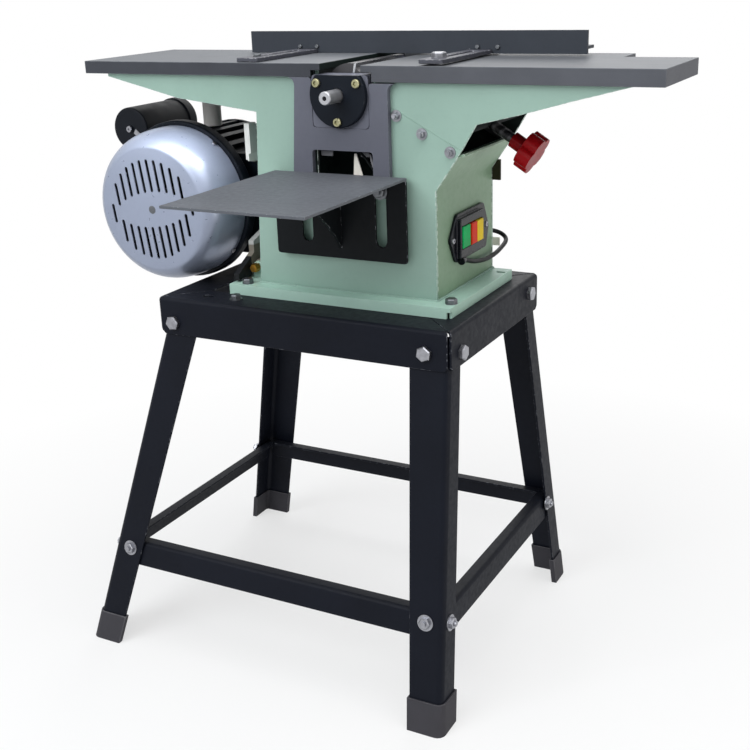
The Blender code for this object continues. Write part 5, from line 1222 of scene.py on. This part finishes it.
class PLANER_OT_bolts(bpy.types.Operator):
    """Hexagon bolts and nuts"""

    bl_idname = "planer.bolts"
    bl_label = "Bolts"

    def execute(self, context):
        TREE_OF["hex"] = hex_tree()
        sizes = context.scene.planer_sizes
        self.stand_bolts(sizes)
        self.body_bolts(sizes)
        self.fence_bolts(sizes)
        return {"FINISHED"}

    def stand_bolts(self, sizes):
        """Through each leg and its aprons, and lower down through its stretchers."""
        front_rear, right_left = (REAR, FRONT), (LEFT, RIGHT)
        names = (["apron_front"], ["apron_rear"])
        apron = outer_pairs(((8, -145, 467), (22, 222, 471)), front_rear, names, 11)
        names = (["apron_right"], ["apron_left"])
        apron += outer_pairs(((0, -115, 467), (17, 111, 480)), right_left, names, 25)
        fixings("apron_bolts", "hex", apron, hex_sizes(sizes.apron_head, 6.4 * MM), "zinc")
        legs = [f"leg_{end}_{side}" for end in ("front", "rear") for side in ("left", "right")]
        brace = outer_pairs(((12, -215, 144), (3, 243, 142)), front_rear, (legs, legs), 20)
        brace += outer_pairs(((9, -183, 138), (16, 166, 145)), right_left, (legs, legs), 14)
        inputs = hex_sizes(13 * MM, 5 * MM, sizes.apron_washer, 1.4 * MM, 7 * MM, 2.5 * MM)
        fixings("stretcher_bolts", "hex", brace, inputs, "zinc")

    def body_bolts(self, sizes):
        """The ways' nuts, the bolts through the base, and the shelf's clamping bolts."""
        rows = ((10, 157, 736), (35, 190, 716), (52, 226, 696))
        ways = outer_pairs(rows, (REAR, FRONT), (["front_plate"], ["back_plate"]), 0)
        inputs = hex_sizes(sizes.way_head, 5 * MM, sizes.way_washer, 1.2 * MM, 5 * MM, 2.2 * MM)
        fixings("way_nuts", "hex", ways, inputs, "zinc")
        base = [(*landed(at(x, y, 560), DOWN, "base_skirt"), 20) for x, y in ((-63, -88), (226, -78))]
        inputs = hex_sizes(sizes.base_head, 5.5 * MM, 15 * MM, 1.2 * MM)
        fixings("base_bolts", "hex", base, inputs, "dull_zinc")
        flange = [(*landed(at(-62, -119, 560), DOWN, "apron_front"), 5)]
        inputs = hex_sizes(12 * MM, 5.5 * MM, 17 * MM, 1.4 * MM)
        fixings("flange_bolt", "hex", flange, inputs, "dull_zinc")
        shelf = [(at(x, -88.6, 647.5), FRONT, 15) for x in (34.5, 138.5)]
        inputs = hex_sizes(13 * MM, 5 * MM, 20 * MM, 1.5 * MM, 7 * MM, 3 * MM)
        fixings("shelf_bolts", "hex", shelf, inputs, "dull_zinc")

    def fence_bolts(self, sizes):
        """A low screw on the left bar, a clamp on the right one, and the small bolts at the fence's foot."""
        screw = hex_sizes(8 * MM, 2 * MM, 11 * MM, 0.8 * MM)
        clamp = hex_sizes(sizes.clamp_head, 5.5 * MM, sizes.clamp_washer, 1 * MM)
        for name, side, x, inputs, material in (
            ("bar_screw_left", "left", -46, screw, "dull_zinc"),
            ("bar_clamp_right", "right", 204, clamp, "zinc"),
        ):
            site = (at(x, -57, 0) + UP * high(f"slide_bar_{side}").z, UP, 24)
            fixings(name, "hex", [site], inputs, material, "fence")
        rail = [(*landed(at(x, -200, 804), REAR, "fence"), 10) for x in (-56, -30, 201, 228)]
        fixings("fence_bolts", "hex", rail, hex_sizes(5 * MM, 2.4 * MM), "dull_zinc", "fence")


def socket_sizes(radius, height, socket, sides):
    """Inputs of the socket head's tree, in metres: six sides for a hexagon, four for a cross."""
    return {"Head Radius": radius, "Head Height": height, "Socket Radius": socket, "Sides": sides}


class PLANER_OT_screws(bpy.types.Operator):
    """Socket and cross-head screws"""

    bl_idname = "planer.screws"
    bl_label = "Screws"

    def execute(self, context):
        TREE_OF["socket"] = socket_tree()
        TREE_OF["thread"] = thread_tree()
        sizes = context.scene.planer_sizes
        x, z = CUTTER_AXIS
        cap = [
            (*landed(at(x + aside, -300, z + up), REAR, "bearing_cap"), 10 * i)
            for i, (aside, up) in enumerate(((-27, 14.5), (27, 14.5), (0, -31)))
        ]
        inputs = socket_sizes(sizes.cap_screw / 2, 3.6 * MM, 2.9 * MM, 6)
        fixings("cap_screws", "socket", cap, inputs, "yellow_zinc")
        small = socket_sizes(sizes.cross_screw / 2, 2.2 * MM, 1.7 * MM, 4)
        lobes = [(*landed(at(400, y, 581), LEFT, "switch_box"), 0) for y in (-38.5, 66)]
        fixings("switch_screws", "socket", lobes, small, "zinc")
        x, z = MOTOR_AXIS
        cowl = []
        for degrees in (52, 142, 232, 322):
            angle = math.radians(degrees)
            out = Vector((math.cos(angle), 0, math.sin(angle)))
            start = at(x, 0, z) + out * 200 * MM
            start.y = at(0, -41, 0).y
            cowl.append((*landed(start, -out, "fan_cowl"), degrees))
        fixings("cowl_screws", "socket", cowl, small, "zinc")
        place = at(-291, 0, 697.6)
        place.y = low("capacitor").y - 1.2 * MM
        inputs = socket_sizes(4.6 * MM, 3.2 * MM, 2.0 * MM, 4)
        fixings("capacitor_screw", "socket", [(place, FRONT, 0)], inputs, "zinc")
        return {"FINISHED"}


class PLANER_OT_welds(bpy.types.Operator):
    """Weld seams where the body's plates meet each other and the base"""

    bl_idname = "planer.welds"
    bl_label = "Welds"

    def execute(self, context):
        tree = bead_tree()
        foot = landed(at(226, -85, 600), DOWN, "base_skirt")[0].z
        left, front = at(-49, -77.4, 0).xy
        right, back = at(207, BACK_FACE, 0).xy
        corners = [(left, front, foot), (right, front, foot), (right, back, foot), (left, back, foot)]
        self.seam(tree, "foot_seam", corners, context.scene.planer_sizes.weld_width, 2.2 * MM, 3)
        ends = [landed(at(x, -300, z), REAR, "front_plate")[0] for x, z in ((141, 751), (238, 699.5))]
        self.seam(tree, "way_seam", ends, 1.1 * MM, 1.1 * MM, 8)
        right_face, _ = landed(at(400, -70, 600), LEFT, "right_wall", "front_plate")
        corner = Vector((right_face.x - 0.2 * MM, low("front_plate").y + 0.2 * MM, 0))
        ends = [corner + UP * z * MM for z in (515, 626)]
        self.seam(tree, "corner_seam", ends, 1.3 * MM, 2.2 * MM, 11)
        return {"FINISHED"}

    def seam(self, tree, name, points, width, ripple, seed):
        """One run of weld from point to point, under the body's enamel."""
        mesh = bpy.data.meshes.new("seam")
        mesh.from_pydata(points, [(i, i + 1) for i in range(len(points) - 1)], [])
        bead = grown(tree, mesh, {"Width": width, "Ripple": ripple, "Seed": seed}, "weld")
        piece(smoothed(bead, 60), name, None, "root", "green_enamel")


OPERATORS = (
    PLANER_OT_stage, PLANER_OT_cable, PLANER_OT_stand, PLANER_OT_body, PLANER_OT_tables, PLANER_OT_cutter,
    PLANER_OT_fence, PLANER_OT_shelf, PLANER_OT_motor, PLANER_OT_switch, PLANER_OT_bolts, PLANER_OT_screws,
    PLANER_OT_height, PLANER_OT_welds,
)


class PLANER_PT_panel(bpy.types.Panel):
    """The steps of the finish, and its sizes and colours"""

    bl_idname = "PLANER_PT_panel"
    bl_label = "Surface planer"
    bl_space_type = "VIEW_3D"
    bl_region_type = "UI"
    bl_category = "Planer"

    def draw(self, context):
        for operator in OPERATORS:
            self.layout.operator(operator.bl_idname)
        for group in (context.scene.planer_sizes, context.scene.planer_colours):
            for name in group.__annotations__:
                self.layout.prop(group, name)


CLASSES = (PlanerSizes, PlanerColours, *OPERATORS, PLANER_PT_panel)


def register():
    for kind in CLASSES:
        bpy.utils.register_class(kind)
    bpy.types.Scene.planer_sizes = bpy.props.PointerProperty(type=PlanerSizes)
    bpy.types.Scene.planer_colours = bpy.props.PointerProperty(type=PlanerColours)


def unregister():
    del bpy.types.Scene.planer_colours
    del bpy.types.Scene.planer_sizes
    for kind in reversed(CLASSES):
        bpy.utils.unregister_class(kind)


def main():
    register()
    read_slots()
    make_materials(bpy.context.scene.planer_colours)
    for operator in OPERATORS:
        step = getattr(bpy.ops.planer, operator.bl_idname.split(".")[1])
        step()


if __name__ == "__main__":
    main()
